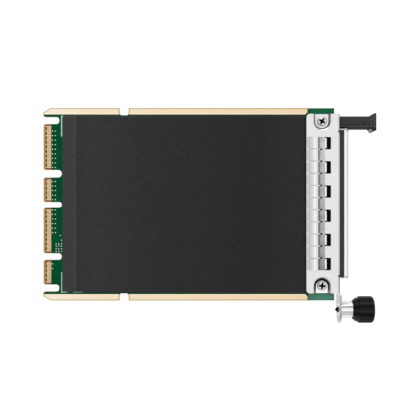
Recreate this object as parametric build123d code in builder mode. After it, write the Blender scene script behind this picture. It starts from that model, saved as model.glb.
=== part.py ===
from build123d import *
import os

# A small server network card, in millimetres. It lies with its component side down.
# The origin is the middle of the card edge that plugs in. X runs along the card to the faceplate,
# Y runs along the card edge, and Z points out of the solder side.

# Circuit board
board_length = 115.0
board_thickness = 1.57
contact_pitch = 0.6
contact_counts = (28, 14, 28, 14)  # from the +Y tongue to the -Y one
tongue_margin = 0.975  # from a tongue's side to its first contact's centre
key_gaps = (3.0, 2.1, 2.6)  # between the tongues
key_depth = 7.25
guide_arm_width = 3.45
guide_slot_width = 2.8
guide_slot_depth = 6.2
guide_slot_radius = 1.1
arm_chamfer_length = 2.8
arm_chamfer_width = 1.6
tongue_corner_radius = 0.8
bevel_run = 0.8
bevel_rise = 0.3
edge_notch_x = 31.9
edge_notch_width = 3.7
edge_notch_depth = 2.75
edge_notch_chamfer = 0.6

# Contacts and plating
contact_width = 0.4
contact_start = 1.2
ground_contact_start = 0.85
contact_end = 2.95
contact_thickness = 0.05
contacts_per_ground = 3
plating_width = 2.45
plating_setback = 10.6  # from the board's rear edge
plating_end_chamfer = 0.9
plating_thickness = 0.05

# Insulating film
film_thickness = 0.25
film_start = 7.5
film_fold = 12.8
film_side_gap = 0.55  # from the plating
film_center_y = 0.05
film_tuck = 1.25  # how far its full width runs in under the flange
film_tongue_reach = 1.4  # how far its middle runs in past the windows
film_cup_gap = 0.5  # from its middle to the drawn feet
film_foot = 1.0
film_lift = 0.9
film_corner_radius = 1.0
tape_width = 4.0
tape_margin = 1.0

# Bracket, folded from one sheet
sheet = 0.8
bend_radius = 0.2
bracket_side_gap = 2.7  # narrower than the board on each side
bracket_center_y = 0.25
faceplate_overhang = 2.0  # past the board
flange_gap = 1.6  # from the solder face to the flange
flange_length = 13.22
flange_corner_radius = 1.4
relief_inset = 6.9  # from the flange's ends
relief_width = 0.7
relief_depth = 0.8
relief_drop = 0.4  # how far it runs down the faceplate
window_length = 4.9
window_width = 2.4
window_inset = 4.8  # from the faceplate
window_corner_radius = 0.3
screw_inset = 7.0  # from the faceplate
screw_side_inset = 2.9  # from the flange's ends
cup_radius = 2.85
cup_draw = 0.2  # how much wider the cup is at its mouth, below its rolled edge
cup_roll = 0.75
screw_hole_diameter = 2.4

# Ear and captive thumbscrew
ear_reach = 47.55  # from the card's middle to the ear's end
ear_diameter = 10.5
ear_joggle = 1.2
ferrule_diameter = 6.6
ferrule_length = 5.8
ferrule_wall = 0.6
spigot_diameter = 5.0
thread_diameter = 3.0
neck_diameter = 2.3
bore_gap = 0.15  # round the thread and the neck
lip_depth = 3.4
lip_thickness = 0.5
tip_length = 1.45
tip_flat_diameter = 0.4
tip_protrusion = 1.2
knob_diameter = 10.7
knob_standoff = 4.8  # from the ear
knob_length = 8.6
knob_slide_gap = 0.2  # round the ferrule
knob_mouth_wall = 0.15
knob_skirt_length = 2.6
knob_step = 0.45
knob_step_height = 0.62  # share of the skirt's rise below the step
knob_edge_radius = 1.3
knob_wall = 3.0
flute_count = 18
flute_radius = 0.5
flute_depth = 0.3
spring_wire = 0.5
spring_side_gap = 0.35
spring_end_gap = 0.1
spring_turns = 5
running_gap = 0.05

# Pull tab
tab_side_inset = 2.9  # from the bracket's end
tab_thickness = 4.3
tab_height = 12.0
tab_length = 13.1
tab_flare = 1.3
tab_flare_ramp = 0.9
tab_flare_length = 0.7
tab_foot_margin = 0.8
tab_foot_thickness = 0.8
tab_edge_radius = 0.3
tab_slot_gap = 0.1
tab_panel_start = 0.5  # from the faceplate
tab_panel_length = 5.2
tab_panel_width = 2.5
tab_panel_height = 0.15
tab_panel_radius = 0.5
tab_dimple_inset = 2.9  # from the flared end
tab_dimple_offset = 0.75
tab_dimple_diameter = 0.9
tab_dimple_depth = 0.3

# Spring finger strips
finger_pitch = 4.75
finger_sheet = 0.12
finger_rise = 1.2
finger_crest = 3.1  # from the flange's edge
finger_foot = 4.95
finger_root = 5.65
finger_shoulder = 0.6  # share of the rise reached half-way to the crest
finger_crest_length = 0.4
finger_radii = (2.2, 0.9, 0.2)
finger_slit = 0.35
finger_corner_radius = 0.35
clip_width = 3.9
clip_depth = 1.1
clip_hook = 0.8
clip_bend_radius = 0.35

# Port cage
port_count = 4
cage_side_room = 6.675  # from the cage to the bracket's ends
cage_wall = 0.25
cage_height = 9.8
cage_length = 48.6
cage_overhang = 3.8  # past the faceplate
cage_gap = 0.2  # round the cage in the faceplate
lip_length = 1.7
lip_radial = 0.8
lip_corner_radius = 0.8
lip_edge_radius = 0.3
side_shield_thickness = 0.45  # past the gasket's ends
gasket_radial = 0.7
gasket_lug_gap = 0.05  # in the relief cuts
vent_pitch = (5.0, 4.0)
vent_counts = (5, 2)
vent_length = 3.2
vent_width = 1.4
latch_length = 9.0
latch_width = 5.0
latch_slit = 0.4
latch_setback = 1.6  # behind the cage's front
latch_hole_length = 2.2
latch_hole_width = 2.6
connector_side_gap = 1.3
connector_length = 8.4
connector_height = 5.6
connector_setback = 1.2
connector_slot_wall = 0.8
connector_slot_height = 1.4
connector_slot_depth = 5.0

# Lamps and light pipes
pipe_diameter = 1.3
pipe_offset = 2.6  # from a port's centre line to its two pipes
pipe_side_gap = 0.515  # from the cage and from the bracket
pipe_bend_radius = 2.2
pipe_setback = 2.6  # behind the cage
pipe_bridge_length = 3.0
pipe_hole_gap = 0.1
lamp_length = 0.8
lamp_width = 1.6
lamp_height = 0.8
lamp_gap = 0.15

# Controller and heatsink
chip_size = 25.0
chip_height = 1.6
lid_margin = 2.0
lid_corner_radius = 1.0
lid_height = 1.0
pad_height = 0.3
heatsink_start = 16.0
heatsink_base = 2.4
component_limit = 11.5  # highest part above the board
fin_count = 17
fin_thickness = 0.9
fin_tip_thickness = 0.6
leg_diameter = 5.0
leg_inset = 4.0
heatsink_screw_diameter = 2.0
small_head_diameter = 3.8
small_head_height = 0.6
thread_gap = 0.03
clearance_hole_gap = 0.1
screw_engagement = 3.0

# Bracket screws and their nuts
bracket_screw_diameter = 2.0
bracket_head_diameter = 3.7
bracket_head_height = 1.1
bracket_head_radius = 0.5
cross_length = 2.1
cross_width = 0.5
cross_depth = 0.7
cross_taper = 8
nut_diameter = 4.4
nut_height = 2.0

# Small components on the board
component_gap = 1.1
inductor_size = 6.5
inductor_height = 3.0
inductor_count = 4
inductor_pitch = 8.6
bulk_capacitor_length = 7.3
bulk_capacitor_width = 4.3
bulk_capacitor_height = 2.8
bulk_capacitor_count = 4
coupling_capacitor_length = 1.0
coupling_capacitor_width = 0.5
coupling_capacitor_pitch = 1.2
coupling_capacitor_setback = 3.6  # behind the key gaps
power_row_gap = 2.05  # from the heatsink
power_edge_gap = 3.15  # from the plating
regulator_size = 5.0
regulator_height = 0.9
memory_length = 5.0
memory_width = 4.0
memory_height = 1.5
memory_pin_count = 4
memory_pin_pitch = 1.27
memory_pin_width = 0.4
memory_pin_thickness = 0.2
memory_pin_reach = 0.8
side_chip_pitch = 13.0
crystal_length = 3.2
crystal_width = 2.5
crystal_height = 0.8

# Levels and places that follow from these sizes
solder_z = board_thickness / 2
component_z = -board_thickness / 2
contact_span = sum((count - 1) * contact_pitch + 2 * tongue_margin for count in contact_counts)
tongue_edge = (contact_span + sum(key_gaps)) / 2
arm_edge = tongue_edge + guide_slot_width
half_width = arm_edge + guide_arm_width
board_width = 2 * half_width
plating_end = board_length - plating_setback

faceplate_x = board_length + faceplate_overhang  # the faceplate's outer face
faceplate_inner_x = faceplate_x - sheet
flange_start = faceplate_x - flange_length
flange_inner_z = solder_z + flange_gap
flange_z = flange_inner_z + sheet
bracket_width = board_width - 2 * bracket_side_gap
bracket_low_y = bracket_center_y - bracket_width / 2
bracket_high_y = bracket_center_y + bracket_width / 2
screw_x = faceplate_x - screw_inset
window_x = faceplate_x - window_inset
window_pitch = 2 * finger_pitch
window_count = round((bracket_width - 2 * relief_inset) / window_pitch)
finger_count = 2 * window_count - 1

film_width = board_width - 2 * (plating_width + film_side_gap)
film_underside_z = solder_z + film_lift
film_shoulder_x = flange_start + film_tuck
film_end = window_x + window_width / 2 + film_tongue_reach
cup_mouth_radius = cup_radius + cup_draw + cup_roll
film_tongue_width = bracket_width - 2 * (screw_side_inset + cup_mouth_radius + sheet + film_cup_gap)

cage_width = bracket_width - 2 * cage_side_room
port_pitch = (cage_width - cage_wall) / port_count
cage_front = faceplate_x + cage_overhang
cage_back = cage_front - cage_length
cage_bottom_z = component_z - cage_height
pipe_z = cage_bottom_z - pipe_side_gap - pipe_diameter / 2
bracket_bottom_z = pipe_z - pipe_diameter / 2 - pipe_side_gap - sheet
bracket_height = flange_z - bracket_bottom_z
relief_reach = bracket_width - 2 * relief_inset
bracket_middle_z = (flange_z + bracket_bottom_z) / 2
lamp_x = cage_back - pipe_setback

ear_outer_x = faceplate_x + ear_joggle
ear_inner_x = ear_outer_x - sheet
screw_axis_y = ear_diameter / 2 - ear_reach
knob_start = ear_outer_x + knob_standoff
knob_recess_diameter = ferrule_diameter + 2 * knob_slide_gap
knob_mouth_diameter = knob_recess_diameter + 2 * knob_mouth_wall
spring_mean_diameter = ferrule_diameter - 2 * ferrule_wall - spring_wire - 2 * spring_side_gap
tab_y = bracket_high_y - tab_side_inset

side_row_width = regulator_size + 2 * component_gap
side_chip_x = lamp_x - lamp_length / 2 - side_row_width / 2
heatsink_length = side_chip_x - side_row_width / 2 - heatsink_start
chip_x = heatsink_start + heatsink_length / 2
lid_size = chip_size - 2 * lid_margin
heatsink_z = component_z - chip_height - lid_height - pad_height
heatsink_bottom_z = component_z - component_limit
power_row_y = half_width - plating_width - power_edge_gap - inductor_size / 2
heatsink_width = 2 * (power_row_y - inductor_size / 2 - power_row_gap)
overcut = 1.0  # how far a cutting shape runs past what it cuts

os.makedirs("parts", exist_ok=True)


def tongues():
    """The middle and the width of each contact tongue, from +Y to -Y, with its contact count."""
    top = tongue_edge
    found = []
    for index, count in enumerate(contact_counts):
        width = (count - 1) * contact_pitch + 2 * tongue_margin
        found.append((top - width / 2, width, count))
        gap = key_gaps[index] if index < len(key_gaps) else 0
        top = top - width - gap
    return found


def key_centers():
    """The middle and the width of each gap between two tongues."""
    rows = tongues()
    return [
        (upper[0] - upper[1] / 2 - gap / 2, gap)
        for upper, gap in zip(rows, key_gaps)
    ]


def port_centers():
    """The Y of each port's middle."""
    first = bracket_center_y + (port_count - 1) * port_pitch / 2
    return [first - index * port_pitch for index in range(port_count)]


def screw_centers():
    """The Y of the two bracket screws."""
    return [bracket_high_y - screw_side_inset, bracket_low_y + screw_side_inset]


def leg_centers():
    """The four places where screws hold the heatsink."""
    reach_x = heatsink_length / 2 - leg_inset
    reach_y = heatsink_width / 2 - leg_inset
    return [(chip_x + i * reach_x, j * reach_y) for i in (-1, 1) for j in (-1, 1)]


def bank(values, pitch):
    """Places of a row of equal parts about zero."""
    return [(index - (values - 1) / 2) * pitch for index in range(values)]


def board_outline():
    """The board's outline with its tongues, guide arms and edge notches."""
    with BuildSketch() as outline:
        Rectangle(board_length, board_width, align=(Align.MIN, Align.CENTER))
        for side in (1, -1):
            with Locations((0, side * (tongue_edge + arm_edge) / 2)):
                RectangleRounded(2 * guide_slot_depth, guide_slot_width, guide_slot_radius, mode=Mode.SUBTRACT)
        for middle, gap in key_centers():
            with Locations((0, middle)):
                SlotOverall(2 * key_depth, gap, mode=Mode.SUBTRACT)
        tips = outline.vertices().filter_by(lambda v: v.X < 0.01 and abs(v.Y) < half_width - 0.01)
        fillet(tips, tongue_corner_radius)
        for side in (1, -1):
            corner = (
                (0, side * half_width),
                (arm_chamfer_length, side * half_width),
                (0, side * (half_width - arm_chamfer_width)),
            )
            Polygon(*corner, align=None, mode=Mode.SUBTRACT)
            notch = (
                (edge_notch_x - edge_notch_width / 2, side * (half_width + overcut)),
                (edge_notch_x - edge_notch_width / 2, side * (half_width - edge_notch_depth + edge_notch_chamfer)),
                (edge_notch_x - edge_notch_width / 2 + edge_notch_chamfer, side * (half_width - edge_notch_depth)),
                (edge_notch_x + edge_notch_width / 2 - edge_notch_chamfer, side * (half_width - edge_notch_depth)),
                (edge_notch_x + edge_notch_width / 2, side * (half_width - edge_notch_depth + edge_notch_chamfer)),
                (edge_notch_x + edge_notch_width / 2, side * (half_width + overcut)),
            )
            Polygon(*notch, align=None, mode=Mode.SUBTRACT)
    return outline.sketch


outline = board_outline()

# Board: the outline, bevelled at the tongues' leading edges and drilled for its screws
with BuildPart() as circuit_board:
    extrude(outline, amount=board_thickness / 2, both=True)
    with BuildSketch(Plane.XZ) as bevels:
        for side in (1, -1):
            wedge = (
                (0, side * solder_z),
                (bevel_run, side * solder_z),
                (0, side * (solder_z - bevel_rise)),
            )
            Polygon(*wedge, align=None)
    extrude(amount=tongue_edge, both=True, mode=Mode.SUBTRACT)
    with Locations(*[(screw_x, y, 0) for y in screw_centers()]):
        Hole(screw_hole_diameter / 2)
    with Locations(*[(x, y, 0) for x, y in leg_centers()]):
        Hole(heatsink_screw_diameter / 2 + clearance_hole_gap)

# Contacts: thin gold pads on both faces, every third one a longer ground contact
contact_starts = {ground_contact_start: [], contact_start: []}
for middle, width, count in tongues():
    for index, offset_y in enumerate(bank(count, contact_pitch)):
        start = contact_start if index % contacts_per_ground else ground_contact_start
        contact_starts[start].append(((start + contact_end) / 2, middle + offset_y))
with BuildPart() as edge_contacts:
    for face_z, direction in ((solder_z, 1), (component_z, -1)):
        with BuildSketch(Plane.XY.offset(face_z)) as pads:
            for start, places in contact_starts.items():
                with Locations(*places):
                    Rectangle(contact_end - start, contact_width)
        extrude(amount=direction * contact_thickness)


def guide_plating(side):
    """Gold plating wrapped round one long edge of the board."""
    edge = side * half_width
    with BuildPart() as plating:
        with BuildSketch() as band:
            offset(outline, amount=plating_thickness, kind=Kind.INTERSECTION)
            inner = edge - side * plating_width
            border = (
                (-overcut, edge + side * overcut),
                (plating_end, edge + side * overcut),
                (plating_end, inner + side * plating_end_chamfer),
                (plating_end - plating_end_chamfer, inner),
                (-overcut, inner),
            )
            Polygon(*border, align=None, mode=Mode.INTERSECT)
        extrude(amount=solder_z + plating_thickness, both=True)
        add(circuit_board.part, mode=Mode.SUBTRACT)
    return plating.part


# Film: one folded sheet, glued down behind the tongues and carried by tape past the fold
with BuildPart() as insulator_film:
    with BuildSketch(Plane.XZ.offset(-film_center_y)) as film_profile:
        with BuildLine() as film_path:
            FilletPolyline(
                (film_start, solder_z + film_thickness / 2),
                (film_start + film_foot, solder_z + film_thickness / 2),
                (film_fold, film_underside_z + film_thickness / 2),
                (film_end, film_underside_z + film_thickness / 2),
                radius=film_thickness * 2,
            )
        trace(line_width=film_thickness)
    extrude(amount=film_width / 2, both=True)
    with BuildSketch(Plane.XY.offset(solder_z)):
        for side in (1, -1):
            with Locations((film_shoulder_x, bracket_center_y + side * film_tongue_width / 2)):
                corner = (Align.MIN, Align.MIN if side > 0 else Align.MAX)
                Rectangle(film_end - film_shoulder_x + overcut, film_width, align=corner)
    extrude(amount=flange_gap, mode=Mode.SUBTRACT)
    film_corners = insulator_film.edges().filter_by(Axis.Z)
    fillet(film_corners, film_corner_radius)

with BuildPart() as film_tape:
    with BuildSketch(Plane.XY.offset(solder_z)) as tape_strips:
        tape_start = film_fold + tape_margin
        tape_end = flange_start - tape_margin
        tape_reach = film_width - 2 * tape_margin - tape_width
        with Locations(((tape_start + tape_end) / 2, film_center_y)):
            with GridLocations(1, tape_reach, 1, 2):
                Rectangle(tape_end - tape_start, tape_width)
    extrude(amount=film_lift)


def drawn_cup(top_z, bottom_z, top_radius, bottom_radius, side, mode):
    """A tapered U that runs out over the flange's edge, for the recess round a bracket screw."""
    center = bracket_center_y + side * (bracket_width / 2 - screw_side_inset)
    outside = bracket_center_y + side * (bracket_width / 2 + cup_radius)
    sections = []
    for level, radius in ((top_z, top_radius), (bottom_z, bottom_radius)):
        with BuildSketch(Plane.XY.offset(level)) as section:
            with Locations((screw_x, (center + outside) / 2)):
                SlotCenterToCenter(abs(outside - center), 2 * radius, rotation=90)
        sections.append(section.sketch.face())
    loft(sections, mode=mode)


# Bracket: a folded sheet with two flanges, a faceplate, an ear and two drawn feet for its screws
cup_slope = cup_draw / flange_gap
foot_z = solder_z + sheet
wall_spread = sheet * ((1 + cup_slope**2) ** 0.5) - sheet * cup_slope
with BuildPart() as bracket:
    with BuildSketch(Plane.XZ.offset(-bracket_center_y)) as fold:
        with Locations((flange_start, bracket_bottom_z)):
            Rectangle(faceplate_x - flange_start, bracket_height, align=(Align.MIN, Align.MIN))
        outer_bends = fold.vertices().group_by(Axis.X)[-1]
        fillet(outer_bends, bend_radius + sheet)
        with Locations((flange_start - overcut, bracket_bottom_z + sheet)):
            Rectangle(
                faceplate_inner_x - flange_start + overcut,
                bracket_height - 2 * sheet,
                align=(Align.MIN, Align.MIN),
                mode=Mode.SUBTRACT,
            )
        inner_bends = fold.vertices().filter_by(lambda v: abs(v.X - faceplate_inner_x) < 0.01)
        fillet(inner_bends, bend_radius)
    extrude(amount=bracket_width / 2, both=True)
    flange_corners = bracket.edges().filter_by(Axis.Z).group_by(Axis.X)[0]
    fillet(flange_corners, flange_corner_radius)

    # Drawn feet
    for side in (1, -1):
        foot_radius = cup_radius + wall_spread
        drawn_cup(flange_inner_z, solder_z, foot_radius + cup_draw, foot_radius, side, Mode.ADD)
    for side in (1, -1):
        drawn_cup(flange_z, foot_z, cup_radius + cup_draw, cup_radius, side, Mode.SUBTRACT)
        with BuildSketch(Plane.XY.offset(solder_z)):
            beyond = bracket_center_y + side * (bracket_width / 2 + cup_mouth_radius)
            with Locations((screw_x, beyond)):
                Rectangle(3 * cup_mouth_radius, 2 * cup_mouth_radius)
        extrude(amount=flange_gap + sheet, mode=Mode.SUBTRACT)
    mouths = bracket.edges().group_by(Axis.Z)[-1].filter_by(
        lambda edge: abs(edge.center().X - screw_x) < cup_radius + 2 * cup_draw
        and abs(edge.center().Y - bracket_center_y) < bracket_width / 2 - overcut / 2
    )
    fillet(mouths, cup_roll)
    with Locations(*[(screw_x, y, foot_z) for y in screw_centers()]):
        Hole(screw_hole_diameter / 2, depth=sheet)

    # Ear, joggled outward from the faceplate
    with BuildSketch(Plane.XY.offset(bracket_middle_z)) as ear_section:
        with BuildLine():
            middle_x = faceplate_x - sheet / 2
            FilletPolyline(
                (middle_x, bracket_low_y + ear_joggle),
                (middle_x, bracket_low_y),
                (middle_x + ear_joggle, bracket_low_y - ear_joggle),
                (middle_x + ear_joggle, -ear_reach - overcut),
                radius=bend_radius + sheet / 2,
            )
        trace(line_width=sheet)
    extrude(amount=ear_diameter / 2, both=True)
    with BuildSketch(Plane.YZ.offset(faceplate_inner_x)) as ear_trim:
        with Locations((-ear_reach - overcut, bracket_middle_z)):
            Rectangle(ear_diameter, ear_diameter + overcut)
        with Locations((-ear_reach + ear_diameter / 2, bracket_middle_z)):
            Circle(ear_diameter / 2, mode=Mode.SUBTRACT)
            Rectangle(ear_diameter / 2, ear_diameter, align=(Align.MIN, Align.CENTER), mode=Mode.SUBTRACT)
    extrude(amount=ear_joggle + sheet, mode=Mode.SUBTRACT)
    with BuildSketch(Plane.YZ.offset(faceplate_x)):
        with Locations((screw_axis_y, bracket_middle_z)):
            Circle(spigot_diameter / 2 + thread_gap)
    extrude(amount=ear_joggle + sheet, both=True, mode=Mode.SUBTRACT)

    # Faceplate openings: the cage, the pull tab and the light pipes
    with BuildSketch(Plane.YZ.offset(faceplate_inner_x - sheet / 2)):
        with Locations((bracket_center_y, component_z - cage_height / 2)):
            Rectangle(cage_width + 2 * cage_gap, cage_height + 2 * cage_gap)
        with Locations((tab_y, bracket_middle_z)):
            Rectangle(tab_thickness + 2 * tab_slot_gap, tab_height + 2 * tab_slot_gap)
        for port_y in port_centers():
            with Locations((port_y - pipe_offset, pipe_z), (port_y + pipe_offset, pipe_z)):
                Circle(pipe_diameter / 2 + pipe_hole_gap)
    extrude(amount=2 * sheet, mode=Mode.SUBTRACT)

    # Windows for the finger strips in both flanges, and relief cuts at the bend
    with BuildSketch(Plane.XY.offset(bracket_bottom_z - overcut)):
        with Locations((window_x, bracket_center_y)):
            with GridLocations(1, window_pitch, 1, window_count):
                RectangleRounded(window_width, window_length, window_corner_radius)
    extrude(amount=bracket_height + 2 * overcut, mode=Mode.SUBTRACT)
    with BuildSketch(Plane.XY.offset(flange_inner_z - relief_drop)):
        with Locations((faceplate_x, bracket_center_y)):
            with GridLocations(1, relief_reach, 1, 2):
                Rectangle(2 * relief_depth, relief_width)
    extrude(amount=sheet + relief_drop + overcut, mode=Mode.SUBTRACT)


def finger_strip():
    """The solder-side finger strip: arched fingers on a flat band, clipped into the windows."""
    base_z = flange_z + finger_sheet / 2
    crest_x = flange_start + finger_crest
    root_x = flange_start + finger_root
    window_edge = window_x - window_width / 2
    reach = finger_count * finger_pitch / 2
    with BuildPart() as strip:
        with BuildSketch(Plane.XZ.offset(-bracket_center_y)) as arch:
            with BuildLine():
                FilletPolyline(
                    (flange_start + finger_sheet * 2, base_z),
                    (flange_start + finger_crest / 2, base_z + finger_rise * finger_shoulder),
                    (crest_x + finger_crest_length, base_z + finger_rise + finger_sheet),
                    (flange_start + finger_foot, base_z),
                    (window_edge, base_z),
                    radius=finger_radii,
                )
            trace(line_width=finger_sheet)
        extrude(amount=reach, both=True)
        with BuildSketch(Plane.XY.offset(flange_z - overcut)) as slits:
            for offset_y in bank(finger_count - 1, finger_pitch):
                slit_y = bracket_center_y + offset_y
                with Locations(((flange_start - overcut + root_x) / 2, slit_y)):
                    Rectangle(finger_root + overcut, finger_slit)
                with Locations((root_x, slit_y)):
                    Circle(finger_slit)
                with Locations((flange_start + finger_sheet, slit_y)):
                    Circle(finger_corner_radius + finger_slit / 2)
        extrude(amount=finger_rise + 2 * overcut, mode=Mode.SUBTRACT)
        for offset_y in bank(window_count, window_pitch):
            with BuildSketch(Plane.XZ.offset(-bracket_center_y - offset_y)):
                with BuildLine():
                    FilletPolyline(
                        (window_edge - finger_sheet, base_z),
                        (window_edge + clip_hook, base_z),
                        (window_edge + clip_hook - finger_sheet, base_z - clip_depth),
                        radius=clip_bend_radius,
                    )
                trace(line_width=finger_sheet)
            extrude(amount=clip_width / 2, both=True)
    return strip.part


spring_fingers_solder_side = finger_strip()
spring_fingers_component_side = mirror(
    spring_fingers_solder_side, about=Plane.XY.offset(bracket_middle_z), mode=Mode.PRIVATE
)


def pan_head_screw(x, y, seat_z, shank_length):
    """A pan-head screw with a cross recess, its head on seat_z and its shank below."""
    with BuildPart() as screw:
        with Locations((x, y, seat_z)):
            Cylinder(bracket_head_diameter / 2, bracket_head_height, align=(Align.CENTER, Align.CENTER, Align.MIN))
        fillet(screw.edges().group_by(Axis.Z)[-1], bracket_head_radius)
        with Locations((x, y, seat_z)):
            Cylinder(bracket_screw_diameter / 2, shank_length, align=(Align.CENTER, Align.CENTER, Align.MAX))
        with BuildSketch(Plane.XY.offset(seat_z + bracket_head_height)):
            with Locations((x, y)):
                Rectangle(cross_length, cross_width, rotation=45)
                Rectangle(cross_length, cross_width, rotation=-45)
        extrude(amount=-cross_depth, mode=Mode.SUBTRACT, taper=cross_taper)
    return screw.part


bracket_screws = Compound(
    children=[
        pan_head_screw(screw_x, y, foot_z, sheet + board_thickness + nut_height)
        for y in screw_centers()
    ]
)

# Nuts: threaded spacers soldered to the component face
with BuildPart() as bracket_nuts:
    with BuildSketch(Plane.XY.offset(component_z)):
        with Locations(*[(screw_x, y) for y in screw_centers()]):
            Circle(nut_diameter / 2)
            Circle(bracket_screw_diameter / 2 + thread_gap, mode=Mode.SUBTRACT)
    extrude(amount=-nut_height)

# Pull tab: a moulded bar with a flared end, kept by a foot behind the faceplate
tab_end = faceplate_x + tab_length
tab_foot_x = faceplate_inner_x - tab_slot_gap - tab_foot_thickness
with BuildPart() as pull_tab:
    with BuildSketch(Plane.XY.offset(bracket_middle_z)) as tab_plan:
        half = tab_thickness / 2
        upper = (
            (tab_foot_x, half + tab_foot_margin),
            (tab_foot_x + tab_foot_thickness, half + tab_foot_margin),
            (tab_foot_x + tab_foot_thickness, half),
            (tab_end, half),
            (tab_end + tab_flare_ramp, half + tab_flare),
            (tab_end + tab_flare_ramp + tab_flare_length, half + tab_flare),
        )
        with Locations((0, tab_y)):
            Polygon(*upper, *[(x, -y) for x, y in reversed(upper)], align=None)
    extrude(amount=tab_height / 2, both=True)
    far_edges = pull_tab.edges().filter_by(Axis.Z).group_by(Axis.X)[-1]
    fillet(far_edges, tab_edge_radius)
    long_edges = pull_tab.edges().filter_by(Axis.X).filter_by(lambda edge: edge.length > tab_length / 2)
    fillet(long_edges, tab_edge_radius)
    with BuildSketch(Plane.XY.offset(bracket_middle_z + tab_height / 2)):
        with Locations((faceplate_x + tab_panel_start + tab_panel_length / 2, tab_y)):
            RectangleRounded(tab_panel_length, tab_panel_width, tab_panel_radius)
    extrude(amount=tab_panel_height)
    with Locations((tab_end - tab_dimple_inset, tab_y - tab_dimple_offset, bracket_middle_z + tab_height / 2)):
        Hole(tab_dimple_diameter / 2, depth=tab_dimple_depth)

# Ferrule: pressed into the ear, with a lip that holds the thread back
with BuildPart() as thumbscrew_ferrule:
    axis_plane = Plane(origin=(0, screw_axis_y, bracket_middle_z), x_dir=(1, 0, 0), z_dir=(0, -1, 0))
    ferrule_end = ear_outer_x + ferrule_length
    lip_x = ear_inner_x + lip_depth
    spring_seat_x = lip_x + lip_thickness
    with BuildSketch(axis_plane) as ferrule_section:
        with Locations((ear_inner_x, 0)):
            Rectangle(ferrule_end - ear_inner_x, spigot_diameter / 2, align=(Align.MIN, Align.MIN))
        with Locations((ear_outer_x, 0)):
            Rectangle(ferrule_length, ferrule_diameter / 2, align=(Align.MIN, Align.MIN))
        bores = (
            (ear_inner_x - overcut, lip_x, thread_diameter + 2 * bore_gap),
            (lip_x - overcut, spring_seat_x + overcut, neck_diameter + 2 * bore_gap),
            (spring_seat_x, ferrule_end + overcut, ferrule_diameter - 2 * ferrule_wall),
        )
        for start, end, diameter in bores:
            with Locations((start, 0)):
                Rectangle(end - start, diameter / 2, align=(Align.MIN, Align.MIN), mode=Mode.SUBTRACT)
    revolve(axis=Axis((0, screw_axis_y, bracket_middle_z), (1, 0, 0)))

# Thumbscrew: a necked screw with a cone point, moulded into a fluted knob
knob_end = knob_start + knob_length
knob_floor_x = knob_end - knob_wall
tip_x = ear_inner_x - tip_protrusion
screw_axis = Axis((0, screw_axis_y, bracket_middle_z), (1, 0, 0))
with BuildPart() as thumbscrew_shank:
    with BuildSketch(axis_plane):
        shank = (
            (tip_x, 0),
            (tip_x, tip_flat_diameter / 2),
            (tip_x + tip_length, thread_diameter / 2),
            (lip_x - running_gap, thread_diameter / 2),
            (lip_x - running_gap, neck_diameter / 2),
            (knob_floor_x, neck_diameter / 2),
            (knob_floor_x, 0),
        )
        Polygon(*shank, align=None)
    revolve(axis=screw_axis)

with BuildPart() as thumbscrew_knob:
    with BuildSketch(axis_plane) as knob_section:
        skirt_end = knob_start + knob_skirt_length
        outer_r = knob_diameter / 2
        mouth_r = knob_mouth_diameter / 2
        step_r = mouth_r + (outer_r - mouth_r) * knob_step_height
        knob = (
            (knob_start, 0),
            (knob_start, mouth_r),
            (knob_start + knob_skirt_length / 2, step_r),
            (knob_start + knob_skirt_length / 2 + knob_step, step_r),
            (skirt_end, outer_r),
            (knob_end, outer_r),
            (knob_end, 0),
        )
        Polygon(*knob, align=None)
        rim = knob_section.vertices().filter_by(lambda v: v.X > knob_end - 0.01)
        fillet(rim.sort_by_distance((knob_end, screw_axis_y, bracket_middle_z))[-1], knob_edge_radius)
        with Locations((knob_start - overcut, 0)):
            Rectangle(
                knob_floor_x - knob_start + overcut,
                knob_recess_diameter / 2,
                align=(Align.MIN, Align.MIN),
                mode=Mode.SUBTRACT,
            )
    revolve(axis=screw_axis)
    with BuildSketch(Plane(origin=(skirt_end, screw_axis_y, bracket_middle_z), z_dir=(1, 0, 0))):
        with PolarLocations(outer_r + flute_radius - flute_depth, flute_count):
            Circle(flute_radius)
    extrude(amount=knob_length - knob_skirt_length, mode=Mode.SUBTRACT)

# Spring: pushes the knob away from the ferrule's lip
with BuildPart() as thumbscrew_spring:
    spring_first_x = spring_seat_x + spring_wire / 2 + spring_end_gap
    spring_last_x = knob_floor_x - spring_wire / 2 - spring_end_gap
    with BuildLine() as coil:
        Helix(
            pitch=(spring_last_x - spring_first_x) / spring_turns,
            height=spring_last_x - spring_first_x,
            radius=spring_mean_diameter / 2,
            center=(spring_first_x, screw_axis_y, bracket_middle_z),
            direction=(1, 0, 0),
        )
    with BuildSketch(Plane(origin=coil.line @ 0, z_dir=coil.line % 0)):
        Circle(spring_wire / 2)
    sweep(path=coil.line, is_frenet=True)

# Cage: a folded cover with three walls and a roof, a floor and the dividers between the ports
cage_middle_z = component_z - cage_height / 2
cage_middle_x = (cage_front + cage_back) / 2
connector_back = cage_back + cage_wall + connector_setback
floor_start = connector_back + connector_length + connector_setback
with BuildPart() as cage_cover:
    with Locations((cage_middle_x, bracket_center_y, cage_middle_z)):
        Box(cage_length, cage_width, cage_height)
    with Locations((cage_back + cage_wall, bracket_center_y, component_z)):
        Box(
            cage_length,
            cage_width - 2 * cage_wall,
            cage_height - cage_wall,
            align=(Align.MIN, Align.CENTER, Align.MAX),
            mode=Mode.SUBTRACT,
        )
    # vents in the roof over each port
    with BuildSketch(Plane.XY.offset(cage_bottom_z)):
        for port_y in port_centers():
            with Locations((cage_middle_x, port_y)):
                with GridLocations(*vent_pitch, *vent_counts):
                    SlotOverall(vent_length, vent_width)
    extrude(amount=cage_wall, mode=Mode.SUBTRACT)

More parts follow.
